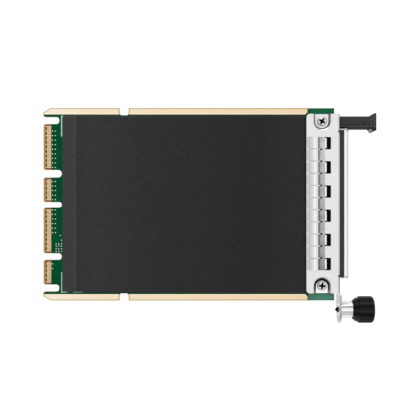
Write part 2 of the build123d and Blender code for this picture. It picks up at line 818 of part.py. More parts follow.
with BuildPart() as cage_floor:
    with BuildSketch(Plane.XY.offset(component_z)):
        with Locations((floor_start, bracket_center_y)):
            Rectangle(
                cage_front - floor_start, cage_width - 2 * cage_wall, align=(Align.MIN, Align.CENTER)
            )
        # a latch tongue in each port, free on three sides, with the hole that catches the module
        latch_end = cage_front - latch_setback
        for port_y in port_centers():
            for side in (1, -1):
                with Locations((latch_end, port_y + side * (latch_width + latch_slit) / 2)):
                    Rectangle(latch_length, latch_slit, align=(Align.MAX, Align.CENTER), mode=Mode.SUBTRACT)
            with Locations((latch_end, port_y)):
                Rectangle(
                    latch_slit,
                    latch_width + 2 * latch_slit,
                    align=(Align.MIN, Align.CENTER),
                    mode=Mode.SUBTRACT,
                )
            with Locations((latch_end - latch_hole_length, port_y)):
                Rectangle(latch_hole_length, latch_hole_width, mode=Mode.SUBTRACT)
    extrude(amount=-cage_wall)


def cage_divider(y):
    """A flat wall between two ports."""
    with BuildPart() as divider:
        with Locations((floor_start, y, component_z - cage_wall)):
            Box(
                cage_front - floor_start,
                cage_wall,
                cage_height - 2 * cage_wall,
                align=(Align.MIN, Align.CENTER, Align.MAX),
            )
    return divider.part


def cage_ring(start, end, radial, corner):
    """A rectangular ring round the cage between two places along X."""
    with BuildPart() as ring:
        with BuildSketch(Plane.YZ.offset(start)) as section:
            with Locations((bracket_center_y, cage_middle_z)):
                RectangleRounded(cage_width + 2 * radial, cage_height + 2 * radial, corner)
                Rectangle(cage_width, cage_height, mode=Mode.SUBTRACT)
        extrude(amount=end - start)
    return ring.part


# Gasket: a ring round the cage, with lugs that fill the relief cuts at the bend
lug_width = relief_width - 2 * gasket_lug_gap
lug_foot_z = flange_inner_z - relief_drop + gasket_lug_gap
lug_top_z = flange_z - gasket_lug_gap
with BuildPart() as cage_gasket:
    add(cage_ring(faceplate_x, cage_front - lip_length, gasket_radial, gasket_radial))
    for side in (1, -1):
        lug_y = bracket_center_y + side * relief_reach / 2
        with Locations((faceplate_x, lug_y, component_z)):
            Box(relief_width, lug_width, lug_top_z - component_z, align=(Align.MIN, Align.CENTER, Align.MIN))
        with Locations((faceplate_x, lug_y, lug_foot_z)):
            Box(
                relief_depth - gasket_lug_gap,
                lug_width,
                lug_top_z - lug_foot_z,
                align=(Align.MAX, Align.CENTER, Align.MIN),
            )

# Front frame: the cage's lip, with a shield over each end of the gasket
with BuildPart() as cage_front_frame:
    add(cage_ring(cage_front - lip_length, cage_front, lip_radial, lip_corner_radius))
    front_edges = cage_front_frame.edges().group_by(Axis.X)[-1]
    fillet([edge for edge in front_edges if edge.center().Z > component_z], lip_edge_radius)
    with Locations((faceplate_x, bracket_center_y, cage_middle_z)):
        with GridLocations(1, cage_width + 2 * gasket_radial + side_shield_thickness, 1, 2):
            Box(
                cage_front - faceplate_x - lip_edge_radius,
                side_shield_thickness,
                cage_height,
                align=(Align.MIN, Align.CENTER, Align.CENTER),
            )


def port_connector(y):
    """A moulded socket with the slot that a module's edge goes into."""
    connector_width = port_pitch - cage_wall - 2 * connector_side_gap
    with BuildPart() as connector:
        with Locations((connector_back, y, component_z)):
            Box(
                connector_length,
                connector_width,
                connector_height,
                align=(Align.MIN, Align.CENTER, Align.MAX),
            )
        with Locations((connector_back + connector_length, y, component_z - connector_height / 2)):
            Box(
                connector_slot_depth,
                connector_width - 2 * connector_slot_wall,
                connector_slot_height,
                align=(Align.MAX, Align.CENTER, Align.CENTER),
                mode=Mode.SUBTRACT,
            )
    return connector.part


# Light pipes: eight clear rods joined by a bridge that lies on the cage
pipe_start_z = component_z - lamp_height - lamp_gap
pipe_ys = [port_y + side * pipe_offset for port_y in port_centers() for side in (1, -1)]
with BuildPart() as light_pipes:
    for pipe_y in pipe_ys:
        with BuildLine() as pipe_path:
            FilletPolyline(
                (lamp_x, pipe_y, pipe_start_z),
                (lamp_x, pipe_y, pipe_z),
                (faceplate_x, pipe_y, pipe_z),
                radius=pipe_bend_radius,
            )
        with BuildSketch(Plane(origin=pipe_path.line @ 0, z_dir=pipe_path.line % 0)):
            Circle(pipe_diameter / 2)
        sweep(path=pipe_path.line)
    with Locations((cage_back + pipe_bridge_length, bracket_center_y, cage_bottom_z)):
        Box(
            pipe_bridge_length,
            pipe_ys[0] - pipe_ys[-1] + 2 * pipe_diameter,
            cage_bottom_z - pipe_z,
            align=(Align.CENTER, Align.CENTER, Align.MAX),
        )

with BuildPart() as status_leds:
    with BuildSketch(Plane.XY.offset(component_z)):
        with Locations(*[(lamp_x, pipe_y) for pipe_y in pipe_ys]):
            Rectangle(lamp_length, lamp_width)
    extrude(amount=-lamp_height)

# Controller: a package with its lid, the thermal pad and the heatsink over it
with BuildPart() as controller_chip:
    with BuildSketch(Plane.XY.offset(component_z)):
        with Locations((chip_x, 0)):
            Rectangle(chip_size, chip_size)
    extrude(amount=-chip_height)
    with BuildSketch(Plane.XY.offset(component_z - chip_height)):
        with Locations((chip_x, 0)):
            RectangleRounded(lid_size, lid_size, lid_corner_radius)
    extrude(amount=-lid_height)

with BuildPart() as thermal_pad:
    with BuildSketch(Plane.XY.offset(heatsink_z)):
        with Locations((chip_x, 0)):
            Rectangle(lid_size, lid_size)
    extrude(amount=pad_height)

with BuildPart() as heatsink:
    fin_root_z = heatsink_z - heatsink_base
    with BuildSketch(Plane.YZ.offset(chip_x)) as comb:
        with Locations((0, heatsink_z)):
            Rectangle(heatsink_width, heatsink_base, align=(Align.CENTER, Align.MAX))
        fin_pitch = (heatsink_width - fin_thickness) / (fin_count - 1)
        for fin_y in bank(fin_count, fin_pitch):
            fin = (
                (fin_y - fin_thickness / 2, fin_root_z),
                (fin_y + fin_thickness / 2, fin_root_z),
                (fin_y + fin_tip_thickness / 2, heatsink_bottom_z),
                (fin_y - fin_tip_thickness / 2, heatsink_bottom_z),
            )
            Polygon(*fin, align=None)
    extrude(amount=heatsink_length / 2, both=True)
    with Locations(*[(x, y, component_z) for x, y in leg_centers()]):
        Cylinder(leg_diameter / 2, component_z - heatsink_z, align=(Align.CENTER, Align.CENTER, Align.MAX))
    with Locations(*[(x, y, component_z) for x, y in leg_centers()]):
        Cylinder(
            heatsink_screw_diameter / 2 + thread_gap,
            screw_engagement + thread_gap,
            align=(Align.CENTER, Align.CENTER, Align.MAX),
            mode=Mode.SUBTRACT,
        )

# Heatsink screws: thin heads on the solder face, under the film
with BuildPart() as heatsink_screws:
    with Locations(*[(x, y, solder_z) for x, y in leg_centers()]):
        Cylinder(small_head_diameter / 2, small_head_height, align=(Align.CENTER, Align.CENTER, Align.MIN))
        Cylinder(
            heatsink_screw_diameter / 2,
            board_thickness + screw_engagement,
            align=(Align.CENTER, Align.CENTER, Align.MAX),
        )


def chip_body(x, y, length, width, height):
    """A plain moulded package on the component face."""
    with Locations((x, y, component_z)):
        Box(length, width, height, align=(Align.CENTER, Align.CENTER, Align.MAX))


with BuildPart() as power_inductors:
    for offset_x in bank(inductor_count, inductor_pitch):
        chip_body(chip_x + offset_x, power_row_y, inductor_size, inductor_size, inductor_height)
    chamfer(power_inductors.edges().filter_by(Axis.Z), inductor_size / 8)

with BuildPart() as bulk_capacitors:
    for offset_x in bank(bulk_capacitor_count, bulk_capacitor_length + 2):
        chip_body(
            chip_x + offset_x,
            -power_row_y,
            bulk_capacitor_length,
            bulk_capacitor_width,
            bulk_capacitor_height,
        )

# Coupling capacitors: one short row behind each tongue
capacitor_places = []
for middle, width, count in tongues():
    row_count = int((width - 2 * tongue_margin) / coupling_capacitor_pitch)
    for offset_y in bank(row_count, coupling_capacitor_pitch):
        capacitor_places.append((key_depth + coupling_capacitor_setback, middle + offset_y))
with BuildPart() as coupling_capacitors:
    with BuildSketch(Plane.XY.offset(component_z)):
        with Locations(*capacitor_places):
            Rectangle(coupling_capacitor_length, coupling_capacitor_width)
    extrude(amount=-coupling_capacitor_width)

with BuildPart() as voltage_regulators:
    for offset_y in (regulator_size, -regulator_size):
        chip_body(side_chip_x, offset_y, regulator_size, regulator_size, regulator_height)

with BuildPart() as flash_memory:
    memory_y = -regulator_size - side_chip_pitch
    chip_body(side_chip_x, memory_y, memory_width, memory_length, memory_height)
    for offset_y in bank(memory_pin_count, memory_pin_pitch):
        chip_body(
            side_chip_x,
            memory_y + offset_y,
            memory_width + 2 * memory_pin_reach,
            memory_pin_width,
            memory_pin_thickness,
        )

with BuildPart() as clock_crystal:
    chip_body(side_chip_x, regulator_size + side_chip_pitch, crystal_width, crystal_length, crystal_height)

pieces = {
    "circuit_board": circuit_board.part,
    "edge_contacts": edge_contacts.part,
    "guide_plating_left": guide_plating(1),
    "guide_plating_right": guide_plating(-1),
    "insulator_film": insulator_film.part,
    "film_tape": film_tape.part,
    "bracket": bracket.part,
    "spring_fingers_solder_side": spring_fingers_solder_side,
    "spring_fingers_component_side": spring_fingers_component_side,
    "bracket_screws": bracket_screws,
    "bracket_nuts": bracket_nuts.part,
    "pull_tab": pull_tab.part,
    "thumbscrew_ferrule": thumbscrew_ferrule.part,
    "thumbscrew_shank": thumbscrew_shank.part,
    "thumbscrew_knob": thumbscrew_knob.part,
    "thumbscrew_spring": thumbscrew_spring.part,
    "cage_cover": cage_cover.part,
    "cage_floor": cage_floor.part,
    "cage_gasket": cage_gasket.part,
    "cage_front_frame": cage_front_frame.part,
    "light_pipes": light_pipes.part,
    "status_leds": status_leds.part,
    "controller_chip": controller_chip.part,
    "thermal_pad": thermal_pad.part,
    "heatsink": heatsink.part,
    "heatsink_screws": heatsink_screws.part,
    "power_inductors": power_inductors.part,
    "bulk_capacitors": bulk_capacitors.part,
    "coupling_capacitors": coupling_capacitors.part,
    "voltage_regulators": voltage_regulators.part,
    "flash_memory": flash_memory.part,
    "clock_crystal": clock_crystal.part,
}
for index, port_y in enumerate(port_centers()):
    pieces[f"port_connector_{index + 1}"] = port_connector(port_y)
    if index:
        pieces[f"cage_divider_{index}"] = cage_divider(port_y + port_pitch / 2)

for name, piece in pieces.items():
    piece.label = name
    export_step(piece, f"parts/{name}.step")
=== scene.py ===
import math

import bmesh
import bpy
import numpy as np
from bpy.props import FloatProperty, FloatVectorProperty, IntProperty, PointerProperty
from bpy.types import Operator, Panel, PropertyGroup
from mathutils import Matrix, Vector


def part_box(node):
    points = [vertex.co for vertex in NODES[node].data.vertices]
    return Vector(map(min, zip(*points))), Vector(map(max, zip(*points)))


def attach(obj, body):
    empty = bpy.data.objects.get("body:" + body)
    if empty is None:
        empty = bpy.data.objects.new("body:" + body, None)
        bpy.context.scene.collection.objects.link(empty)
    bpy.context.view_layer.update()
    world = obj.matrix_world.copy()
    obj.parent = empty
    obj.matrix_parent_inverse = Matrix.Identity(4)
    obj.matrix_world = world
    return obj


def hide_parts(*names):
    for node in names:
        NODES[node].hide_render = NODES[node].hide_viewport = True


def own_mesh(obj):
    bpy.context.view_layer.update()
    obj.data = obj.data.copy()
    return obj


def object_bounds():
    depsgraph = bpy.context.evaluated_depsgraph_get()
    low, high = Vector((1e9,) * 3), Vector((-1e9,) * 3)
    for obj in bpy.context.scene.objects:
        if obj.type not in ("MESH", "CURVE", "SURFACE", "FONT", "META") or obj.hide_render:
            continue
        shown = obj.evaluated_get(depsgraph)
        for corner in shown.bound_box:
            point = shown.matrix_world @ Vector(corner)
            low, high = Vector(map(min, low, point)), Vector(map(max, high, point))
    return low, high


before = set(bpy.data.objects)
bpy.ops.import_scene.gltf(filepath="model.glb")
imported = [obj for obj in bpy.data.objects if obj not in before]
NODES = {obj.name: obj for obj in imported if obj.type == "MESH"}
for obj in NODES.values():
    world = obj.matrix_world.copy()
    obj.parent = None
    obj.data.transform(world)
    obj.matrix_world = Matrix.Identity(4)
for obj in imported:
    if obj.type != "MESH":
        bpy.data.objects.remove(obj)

bl_info = {
    "name": "Network card dresser",
    "version": (1, 0, 0),
    "blender": (4, 5, 0),
    "location": "3D View > Sidebar > Card",
    "description": "Finishes a small server network card and sets up its studio",
    "category": "Object",
}

MM = 0.001
# counts, and sizes in millimetres
CONTACT_COUNTS = (28, 14, 28, 14)
CONTACT_WIDTH, CONTACT_THICKNESS = 0.42, 0.05
TONGUE_MARGIN, TONGUE_GAPS = 0.975, (3.0, 2.1, 2.6, 0)
NOTCH_X = 31.9
FILM_THICKNESS, FILM_FOLD = 0.25, 12.8
FINGERS = 11
SCREW_RADIUS = 1.85
FLASH_BODY_HALF, TANTALUM_LENGTH = 2.0, 7.3
INK_THICKNESS = 0.02
CAD_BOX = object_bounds()


def linear(code):
    """The linear colour of an sRGB hex value."""
    parts = [int(code[i : i + 2], 16) / 255 for i in (1, 3, 5)]
    return tuple(p / 12.92 if p <= 0.04045 else ((p + 0.055) / 1.055) ** 2.4 for p in parts)


def rgba(colour):
    """A colour with full cover, from a hex value or from a colour property."""
    return (*(linear(colour) if isinstance(colour, str) else colour), 1.0)


def box_mm(node):
    """The lowest and highest corner of a CAD node, in millimetres."""
    low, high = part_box(node)
    return np.array(low) / MM, np.array(high) / MM


BOARD_LOW, BOARD_HIGH = box_mm("circuit_board")
PAD_LOW, PAD_HIGH = box_mm("edge_contacts")
FILM_LOW, FILM_HIGH = box_mm("insulator_film")
BRACKET_LOW, BRACKET_HIGH = box_mm("bracket")
STRIP_LOW, STRIP_HIGH = box_mm("spring_fingers_solder_side")
SCREW_LOW, SCREW_HIGH = box_mm("bracket_screws")
SCREW_MIDDLE = (SCREW_LOW + SCREW_HIGH) / 2
SCREW_REACH = (SCREW_HIGH[1] - SCREW_LOW[1]) / 2 - SCREW_RADIUS
TAB_LOW, TAB_HIGH = box_mm("pull_tab")
PLATING_LOW, PLATING_HIGH = box_mm("guide_plating_left")
PLATING_INNER = PLATING_LOW[1]


# Properties


class CardSizes(PropertyGroup):
    """Sizes of the pieces that are made here."""

    contact_pitch: FloatProperty(
        name="Contact pitch", description="Distance between two contacts", default=0.6 * MM, unit="LENGTH"
    )
    via_diameter: FloatProperty(
        name="Via diameter", description="Width of a via's land", default=0.44 * MM, unit="LENGTH"
    )
    print_width: FloatProperty(
        name="Line width", description="Width of the printed outline", default=0.5 * MM, unit="LENGTH"
    )
    film_ripple: FloatProperty(
        name="Film ripple", description="Height of the film's slow ripples", default=0.03 * MM, unit="LENGTH"
    )
    spring_wire: FloatProperty(
        name="Spring wire", description="Thickness of the spring's wire", default=0.5 * MM, unit="LENGTH"
    )
    spring_turns: IntProperty(name="Spring turns", description="Turns of the spring", default=6, min=3)


class CardColours(PropertyGroup):
    """Colours of the finishes."""

    mask: FloatVectorProperty(
        name="Solder mask", description="Green of the solder mask", subtype="COLOR", default=linear("#00532f")
    )
    gold: FloatVectorProperty(
        name="Contact gold", description="Colour of the contacts", subtype="COLOR", default=linear("#e2c89f")
    )
    steel: FloatVectorProperty(
        name="Bracket steel", description="Colour of the plated steel", subtype="COLOR", default=linear("#efefef")
    )
    plastic: FloatVectorProperty(
        name="Knob black", description="Black of the moulded knob", subtype="COLOR", default=linear("#171718")
    )


# Meshes


def new_piece(name, vertices, faces, body="card", material=None, slot=None):
    """A closed mesh piece from arrays of points in millimetres and of faces, riding on a body."""
    mesh = bpy.data.meshes.new(name)
    mesh.from_pydata((np.asarray(vertices, float) * MM).tolist(), [], [list(map(int, f)) for f in faces])
    work = bmesh.new()
    work.from_mesh(mesh)
    bmesh.ops.remove_doubles(work, verts=work.verts, dist=1e-7)
    bmesh.ops.recalc_face_normals(work, faces=work.faces)
    work.to_mesh(mesh)
    work.free()
    piece = bpy.data.objects.new(name, mesh)
    bpy.context.scene.collection.objects.link(piece)
    if material:
        mesh.materials.append(material)
    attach(piece, body)
    return piece


def smooth(piece, angle=40):
    """Smooth shading that keeps edges sharper than the angle."""
    piece.data.polygons.foreach_set("use_smooth", np.ones(len(piece.data.polygons), bool))
    piece.data.set_sharp_from_angle(angle=math.radians(angle))
    return piece


def revolved(profile, steps):
    """A profile of (radius, height) turned about Z: x = r cos a, y = r sin a, z = h; its ends are on the axis."""
    profile = np.asarray(profile, float)
    angle = np.linspace(0, 2 * math.pi, steps, endpoint=False)
    radius, height = profile[:, :1], np.repeat(profile[:, 1:], steps, axis=1)
    ring = np.stack([radius * np.cos(angle), radius * np.sin(angle), height], axis=-1)
    return ring, quads(*ring.shape[:2], wrap=True)


def quads(rows, columns, wrap=False):
    """The faces of a grid of rows by columns points; wrap joins the last column to the first."""
    row = np.arange(rows - 1)[:, None] * columns
    column = np.arange(columns if wrap else columns - 1)[None, :]
    after = (column + 1) % columns
    corners = [row + column, row + after, row + columns + after, row + columns + column]
    return np.stack(corners, -1).reshape(-1, 4)


def repeated(points, faces, places):
    """One shape at many places: every point plus every place, as one pair of arrays."""
    points = np.asarray(points, float).reshape(-1, 3)
    places = np.asarray(places, float)
    everywhere = (places[:, None, :] + points[None, :, :]).reshape(-1, 3)
    shifted = faces[None] + (np.arange(len(places)) * len(points))[:, None, None]
    return everywhere, shifted.reshape(-1, faces.shape[1])


def boxes(centres, sizes):
    """Closed boxes: eight corners at centre plus or minus half the size, six faces each."""
    centres = np.asarray(centres, float).reshape(-1, 3)
    sizes = np.broadcast_to(np.asarray(sizes, float), centres.shape)
    corner = np.array([[i, j, k] for k in (-1, 1) for j in (-1, 1) for i in (-1, 1)]) / 2
    points = centres[:, None] + corner[None] * sizes[:, None]
    sides = [[0, 2, 3, 1], [4, 5, 7, 6], [0, 1, 5, 4], [2, 6, 7, 3], [0, 4, 6, 2], [1, 3, 7, 5]]
    sides = np.array(sides)
    faces = sides[None] + (np.arange(len(centres)) * 8)[:, None, None]
    return points.reshape(-1, 3), faces.reshape(-1, 4)


def ribbon(path, width, low, high):
    """A flat bar along a path in XY: each point moved half the width to both sides along the mitred normal."""
    path = np.asarray(path, float)
    run = np.diff(path, axis=0)
    run /= np.linalg.norm(run, axis=1)[:, None]
    before, after = np.vstack([run[:1], run]), np.vstack([run, run[-1:]])
    middle = before + after
    middle /= np.linalg.norm(middle, axis=1)[:, None]
    side = np.stack([-middle[:, 1], middle[:, 0]], 1)
    side *= (width / 2 / np.einsum("ij,ij->i", middle, after))[:, None]
    section = [(path + side, high), (path - side, high), (path - side, low), (path + side, low)]
    grid = np.stack([np.column_stack([points, np.full(len(points), z)]) for points, z in section], 1)
    faces = quads(*grid.shape[:2], wrap=True)
    ends = np.array([[3, 2, 1, 0], np.arange(4) + 4 * (len(path) - 1)])
    return grid.reshape(-1, 3), np.vstack([faces, ends])


def outlines(boxes_mm, gap, line, low, high):
    """Printed frames round footprints: four bars round each box, one gap away from it."""
    parts = []
    for (x0, y0), (x1, y1) in boxes_mm:
        x0, y0, x1, y1 = x0 - gap, y0 - gap, x1 + gap, y1 + gap
        for path in ([(x0, y0), (x1, y0), (x1, y1)], [(x1, y1), (x0, y1), (x0, y0)]):
            parts.append(ribbon(path, line, low, high))
    return joined(parts)


def joined(parts):
    """Several pairs of points and faces as one pair."""
    starts = np.cumsum([0] + [len(points) for points, _ in parts[:-1]])
    faces = [face for start, (_, faces) in zip(starts, parts) for face in faces + start]
    return np.vstack([points for points, _ in parts]), faces


# Materials


def fill(node, sockets):
    """Fills a node's sockets, by place or by name, with links, numbers and colours. A tuple that starts with an
    operation stands for the Math node of that operation on the rest of the tuple."""
    tree = node.id_data
    for socket, value in sockets.items() if isinstance(sockets, dict) else enumerate(sockets):
        if isinstance(value, tuple) and isinstance(value[0], str):
            value = add(tree, "Math", value[1:], operation=value[0])
        if isinstance(value, bpy.types.NodeSocket):
            tree.links.new(value, node.inputs[socket])
        else:
            node.inputs[socket].default_value = rgba(value) if node.inputs[socket].type == "RGBA" else value


def add(tree, kind, sockets=(), output=0, stops=(), **settings):
    """Adds a node with its settings and colour stops, fills its sockets, and returns an output."""
    node = tree.nodes.new("ShaderNode" + kind)
    for setting, value in settings.items():
        setattr(node, setting, value)
    for index, (position, colour) in enumerate(stops):
        elements = node.color_ramp.elements
        element = elements[index] if index < 2 else elements.new(position)
        element.position, element.color = position, rgba(colour)
    fill(node, sockets)
    return node.outputs[output]


def layered(tree, colour, *marks):
    """Lays marks over a colour in order; each mark is its cover, from 0 to 1, and its own colour."""
    for cover, over in marks:
        colour = add(tree, "Mix", {0: cover, 6: colour, 7: over}, output=2, data_type="RGBA")
    return colour


def distance(tree, across, along):
    """How far a point lies from a centre, from its distances along X and Y."""
    point = add(tree, "CombineXYZ", (across, along, 0.0))
    return add(tree, "VectorMath", [point], output="Value", operation="LENGTH")


def slit_spots(tree, x, y, place, inner, outer):
    """Round spots where a line across the fingers meets their slits, from full at the inner radius to gone at the
    outer."""
    pitch = (STRIP_HIGH[1] - STRIP_LOW[1]) / FINGERS
    phase = ("PINGPONG", ("SUBTRACT", y, STRIP_LOW[1]), pitch / 2)
    return add(tree, "MapRange", {0: distance(tree, ("SUBTRACT", x, place), phase), 1: outer, 2: inner})


def new_material(name, base="#808080", metallic=0.0, roughness=0.5, **sockets):
    """A material with its shader's own settings, its tree, and the object's coordinates in millimetres."""
    material = bpy.data.materials.new(name)
    material.use_nodes = True
    tree = material.node_tree
    shader = tree.nodes["Principled BSDF"]
    fill(shader, {"Base Color": base, "Metallic": metallic, "Roughness": roughness})
    fill(shader, {socket.replace("_", " "): value for socket, value in sockets.items()})
    place = add(tree, "TexCoord", output="Object")
    return material, tree, shader, add(tree, "VectorMath", {0: place, "Scale": 1 / MM}, operation="SCALE")


def apply_material(material, *names):
    """Gives CAD nodes a finish in their objects' own slots."""
    for name in names:
        data = NODES[name].data
        data.materials.clear()
        data.materials.append(material)


def tongue_rows():
    """The middle and half width of each contact tongue in millimetres, from +Y to -Y."""
    pitch = bpy.context.scene.card_sizes.contact_pitch / MM
    halves = [((count - 1) * pitch + 2 * TONGUE_MARGIN) / 2 for count in CONTACT_COUNTS]
    top = sum(halves) + sum(TONGUE_GAPS) / 2
    rows = []
    for half, gap in zip(halves, TONGUE_GAPS):
        rows.append((top - half, half))
        top -= 2 * half + gap
    return rows


def board_material():
    """Green solder mask on glass epoxy: deep glossy green over faint tracks, bare tan and brown laminate between the
    contacts, ochre bevels and cut edges."""
    mask = bpy.context.scene.card_colours.mask
    finish = {"roughness": 0.3, "Specular_IOR_Level": 0.02}
    material, tree, shader, grid = new_material("solder_mask_on_glass_epoxy", **finish)
    x, y, _ = add(tree, "SeparateXYZ", [grid], output=slice(0, 3))
    # how far a point lies inside the nearest contact tongue's sides
    inside = -1.0
    for middle, half in tongue_rows():
        depth = ("SUBTRACT", half, ("ABSOLUTE", ("SUBTRACT", y, middle)))
        inside = add(tree, "Math", (inside, depth), operation="MAXIMUM")
    # buried copper shows as tracks about 0.15 mm wide that are a little paler than the mask
    tracks = add(tree, "TexVoronoi", {"Vector": grid, "Scale": 0.22}, feature="DISTANCE_TO_EDGE")
    copper = add(tree, "MapRange", {0: tracks, 1: 0.012, 2: 0.03, 3: 0.3, 4: 0.0})
    cloud = add(tree, "TexNoise", {"Vector": grid, "Scale": 0.3, "Detail": 1.0})
    cloud = add(tree, "MapRange", {0: cloud, 1: 0.35, 2: 0.7, 4: 0.4})
    # painted reflection: the rear corners are paler, most of all at the -Y end, where the glossy mask would mirror a
    # bright area
    rear_reflection = add(tree, "MapRange", {0: x, 1: PLATING_HIGH[0] + 0.1, 2: PLATING_HIGH[0] + 0.5})
    across = add(tree, "MapRange", {0: y, 1: -38.0, 2: 38.0})
    pale = (0.0, "#2f7458"), (0.006, "#57917a"), (0.027, "#57917a"), (0.034, "#4a8068"), (0.06, "#1a6443")
    corners = add(tree, "ValToRGB", [across], stops=(*pale, (1.0, "#1a6646")))
    green = layered(tree, mask, (copper, "#0c6a46"), (cloud, "#004a2c"), (rear_reflection, corners))
    # bare laminate: ochre rim, brown strip beside the outer contacts, tan between the contacts
    browns = (0.0, "#c09a5c"), (0.2, "#b88548"), (0.3, "#7a4325"), (0.68, "#7d4627"), (0.78, "#c6a06c")
    side = add(tree, "ValToRGB", [inside], stops=browns)
    browns = (0.0, "#c8a468"), (0.3, "#b88f4a"), (0.36, "#7a4424"), (0.67, "#783f20"), (0.71, "#c6a06c")
    front = add(tree, "ValToRGB", [("MULTIPLY", x, 0.5)], stops=browns)
    laminate = layered(tree, side, (("GREATER_THAN", inside, 0.7), front))
    bare = ("MULTIPLY", ("GREATER_THAN", inside, -0.02), ("LESS_THAN", x, PAD_HIGH[0] + 0.12))
    surface = layered(tree, green, (bare, laminate))
    # cut edges and bevels show the glass weave end on
    weave = add(tree, "VectorMath", (grid, (0.3, 0.3, 3.0)), operation="MULTIPLY")
    weave = add(tree, "TexNoise", {"Vector": weave, "Scale": 2.0})
    cut = add(tree, "ValToRGB", [weave], stops=((0.35, "#b48f50"), (0.65, "#cfab6b")))
    upright = add(tree, "SeparateXYZ", [add(tree, "NewGeometry", output="Normal")], output=2)
    flat = ("GREATER_THAN", ("ABSOLUTE", upright), 0.98)
    bump = add(tree, "Bump", {"Height": copper, "Distance": 0.02 * MM, "Strength": 0.4})
    fill(shader, {"Base Color": layered(tree, cut, (flat, surface)), "Normal": bump})
    return material


def speckled_material(name, scale, stops, stretch=(1, 1, 1), **settings):
    """Two near tones in soft spots, so that a plain metal or ink looks worn and not painted on."""
    material, tree, shader, grid = new_material(name, **settings)
    spots = add(tree, "VectorMath", (grid, stretch), operation="MULTIPLY")
    spots = add(tree, "TexNoise", {"Vector": spots, "Scale": scale})
    fill(shader, {"Base Color": add(tree, "ValToRGB", [spots], stops=stops)})
    return material


def guide_material():
    """Gold plating on the guide edges: pale and brushed along the card, warmer to the rear, with painted shade on
    its rolled rim and a bright inner line."""
    material, tree, shader, grid = new_material("gold_plated_guide_edge", "#f7e6cc", metallic=1.0, roughness=0.24)
    x, y, _ = add(tree, "SeparateXYZ", [grid], output=slice(0, 3))
    side = add(tree, "Math", (y,), operation="ABSOLUTE")
    edge = add(tree, "Math", (PLATING_HIGH[1], side), operation="SUBTRACT")
    # the rolled rim's painted shade follows the edge, the lead-in chamfer from 2.8 mm along it to 1.6 mm in from it,
    # and the notch
    lead = ("MULTIPLY_ADD", x, 0.496, ("MULTIPLY_ADD", edge, 0.868, -1.39))
    notch = ("SUBTRACT", ("ABSOLUTE", ("SUBTRACT", x, NOTCH_X)), 1.85)
    near = ("MINIMUM", ("MINIMUM", edge, lead), ("MINIMUM", notch, x))
    rim = add(tree, "MapRange", {0: near, 1: 0.42, 2: 0.3})
    along = add(tree, "Math", (x, 0.01), operation="MULTIPLY")
    golds = (0.0, "#fdf2df"), (0.2, "#f8e6c9"), (0.55, "#f6e0be"), (1.0, "#f2d6b0")
    face = add(tree, "ValToRGB", [along], stops=golds)
    rim_shade_tones = add(tree, "ValToRGB", [along], stops=((0.0, "#c9b183"), (0.5, "#c0a473"), (1.0, "#b99b66")))
    brushed = add(tree, "VectorMath", (grid, (0.02, 1.0, 1.0)), operation="MULTIPLY")
    streak = add(tree, "TexNoise", {"Vector": brushed, "Scale": 2.0})
    streak = add(tree, "MapRange", {0: streak, 1: 0.35, 2: 0.65, 4: 0.35})
    inner = add(tree, "MapRange", {0: side, 1: PLATING_INNER + 0.5, 2: PLATING_INNER + 0.35, 4: 0.7})
    fill(shader, {"Base Color": layered(tree, face, (streak, "#f1d9b8"), (inner, "#fff3d8"), (rim, rim_shade_tones))})
    return material


def film_material():
    """Black polyester film: nearly flat black with a fine matt grain, greyer on its rise and along its crease."""
    material, tree, shader, grid = new_material("black_polyester_film", roughness=0.6, Specular_IOR_Level=0.08)
    x, y, _ = add(tree, "SeparateXYZ", [grid], output=slice(0, 3))
    # the sheet is greyest by its crease and darkens slowly towards the bracket, and under the bracket it is painted
    # near black as shade
    rise = (0.07, "#424142"), (0.115, "#424242"), (0.118, "#4a494a"), (0.1215, "#4a4949"), (0.125, "#363636")
    flat = (0.19, "#383838"), (0.4, "#313131"), (0.8, "#2b2b2b"), (0.98, "#303030"), (0.994, "#020202")
    tone = add(tree, "ValToRGB", [("MULTIPLY", x, 0.0095)], stops=(*rise, *flat))
    # the grain is about 0.3 mm in the real film and is drawn at 1 mm, so that it shows
    speck = add(tree, "TexNoise", {"Vector": grid, "Scale": 1.3, "Detail": 3.0})
    lift = add(tree, "MapRange", {0: speck, 1: 0.35, 2: 0.65, 3: 0.88, 4: 1.12})
    # its cut edges catch the light
    rim = add(tree, "MapRange", {0: ("ABSOLUTE", y), 1: 34.3, 2: 34.7, 4: 0.4})
    tone = add(tree, "VectorMath", {0: tone, "Scale": ("ADD", lift, rim)}, operation="SCALE")
    bump = add(tree, "Bump", {"Height": speck, "Distance": 0.03 * MM, "Strength": 0.35})
    fill(shader, {"Base Color": tone, "Normal": bump})
    return material


def steel_material(name, base, roughness, grain=(1, 1, 1), spread=0.06, paint=None):
    """Sheet metal under bright plating: rolled grain and small changes of tone; paint adds marks to its colour."""
    material, tree, shader, grid = new_material(name, base, metallic=1.0, roughness=roughness)
    rolled = add(tree, "VectorMath", (grid, tuple(1 / g for g in grain)), operation="MULTIPLY")
    rolled = add(tree, "TexNoise", {"Vector": rolled, "Scale": 4.0, "Detail": 3.0})
    cloud = add(tree, "TexNoise", {"Vector": grid, "Scale": 0.25})
    dark = tuple(c * (1 - 3 * spread) for c in rgba(base)[:3])
    tone = [("MULTIPLY", ("ADD", rolled, cloud), 0.5)]
    colour = add(tree, "ValToRGB", tone, stops=((0.35, dark), (0.65, base)))
    rough = add(tree, "MapRange", {0: rolled, 1: 0.3, 2: 0.7, 3: roughness - 0.05, 4: roughness + 0.08})
    bump = add(tree, "Bump", {"Height": rolled, "Distance": 0.004 * MM, "Strength": 0.2})
    colour = paint(tree, grid, colour) if paint else colour
    fill(shader, {"Base Color": colour, "Roughness": rough, "Normal": bump})
    return material


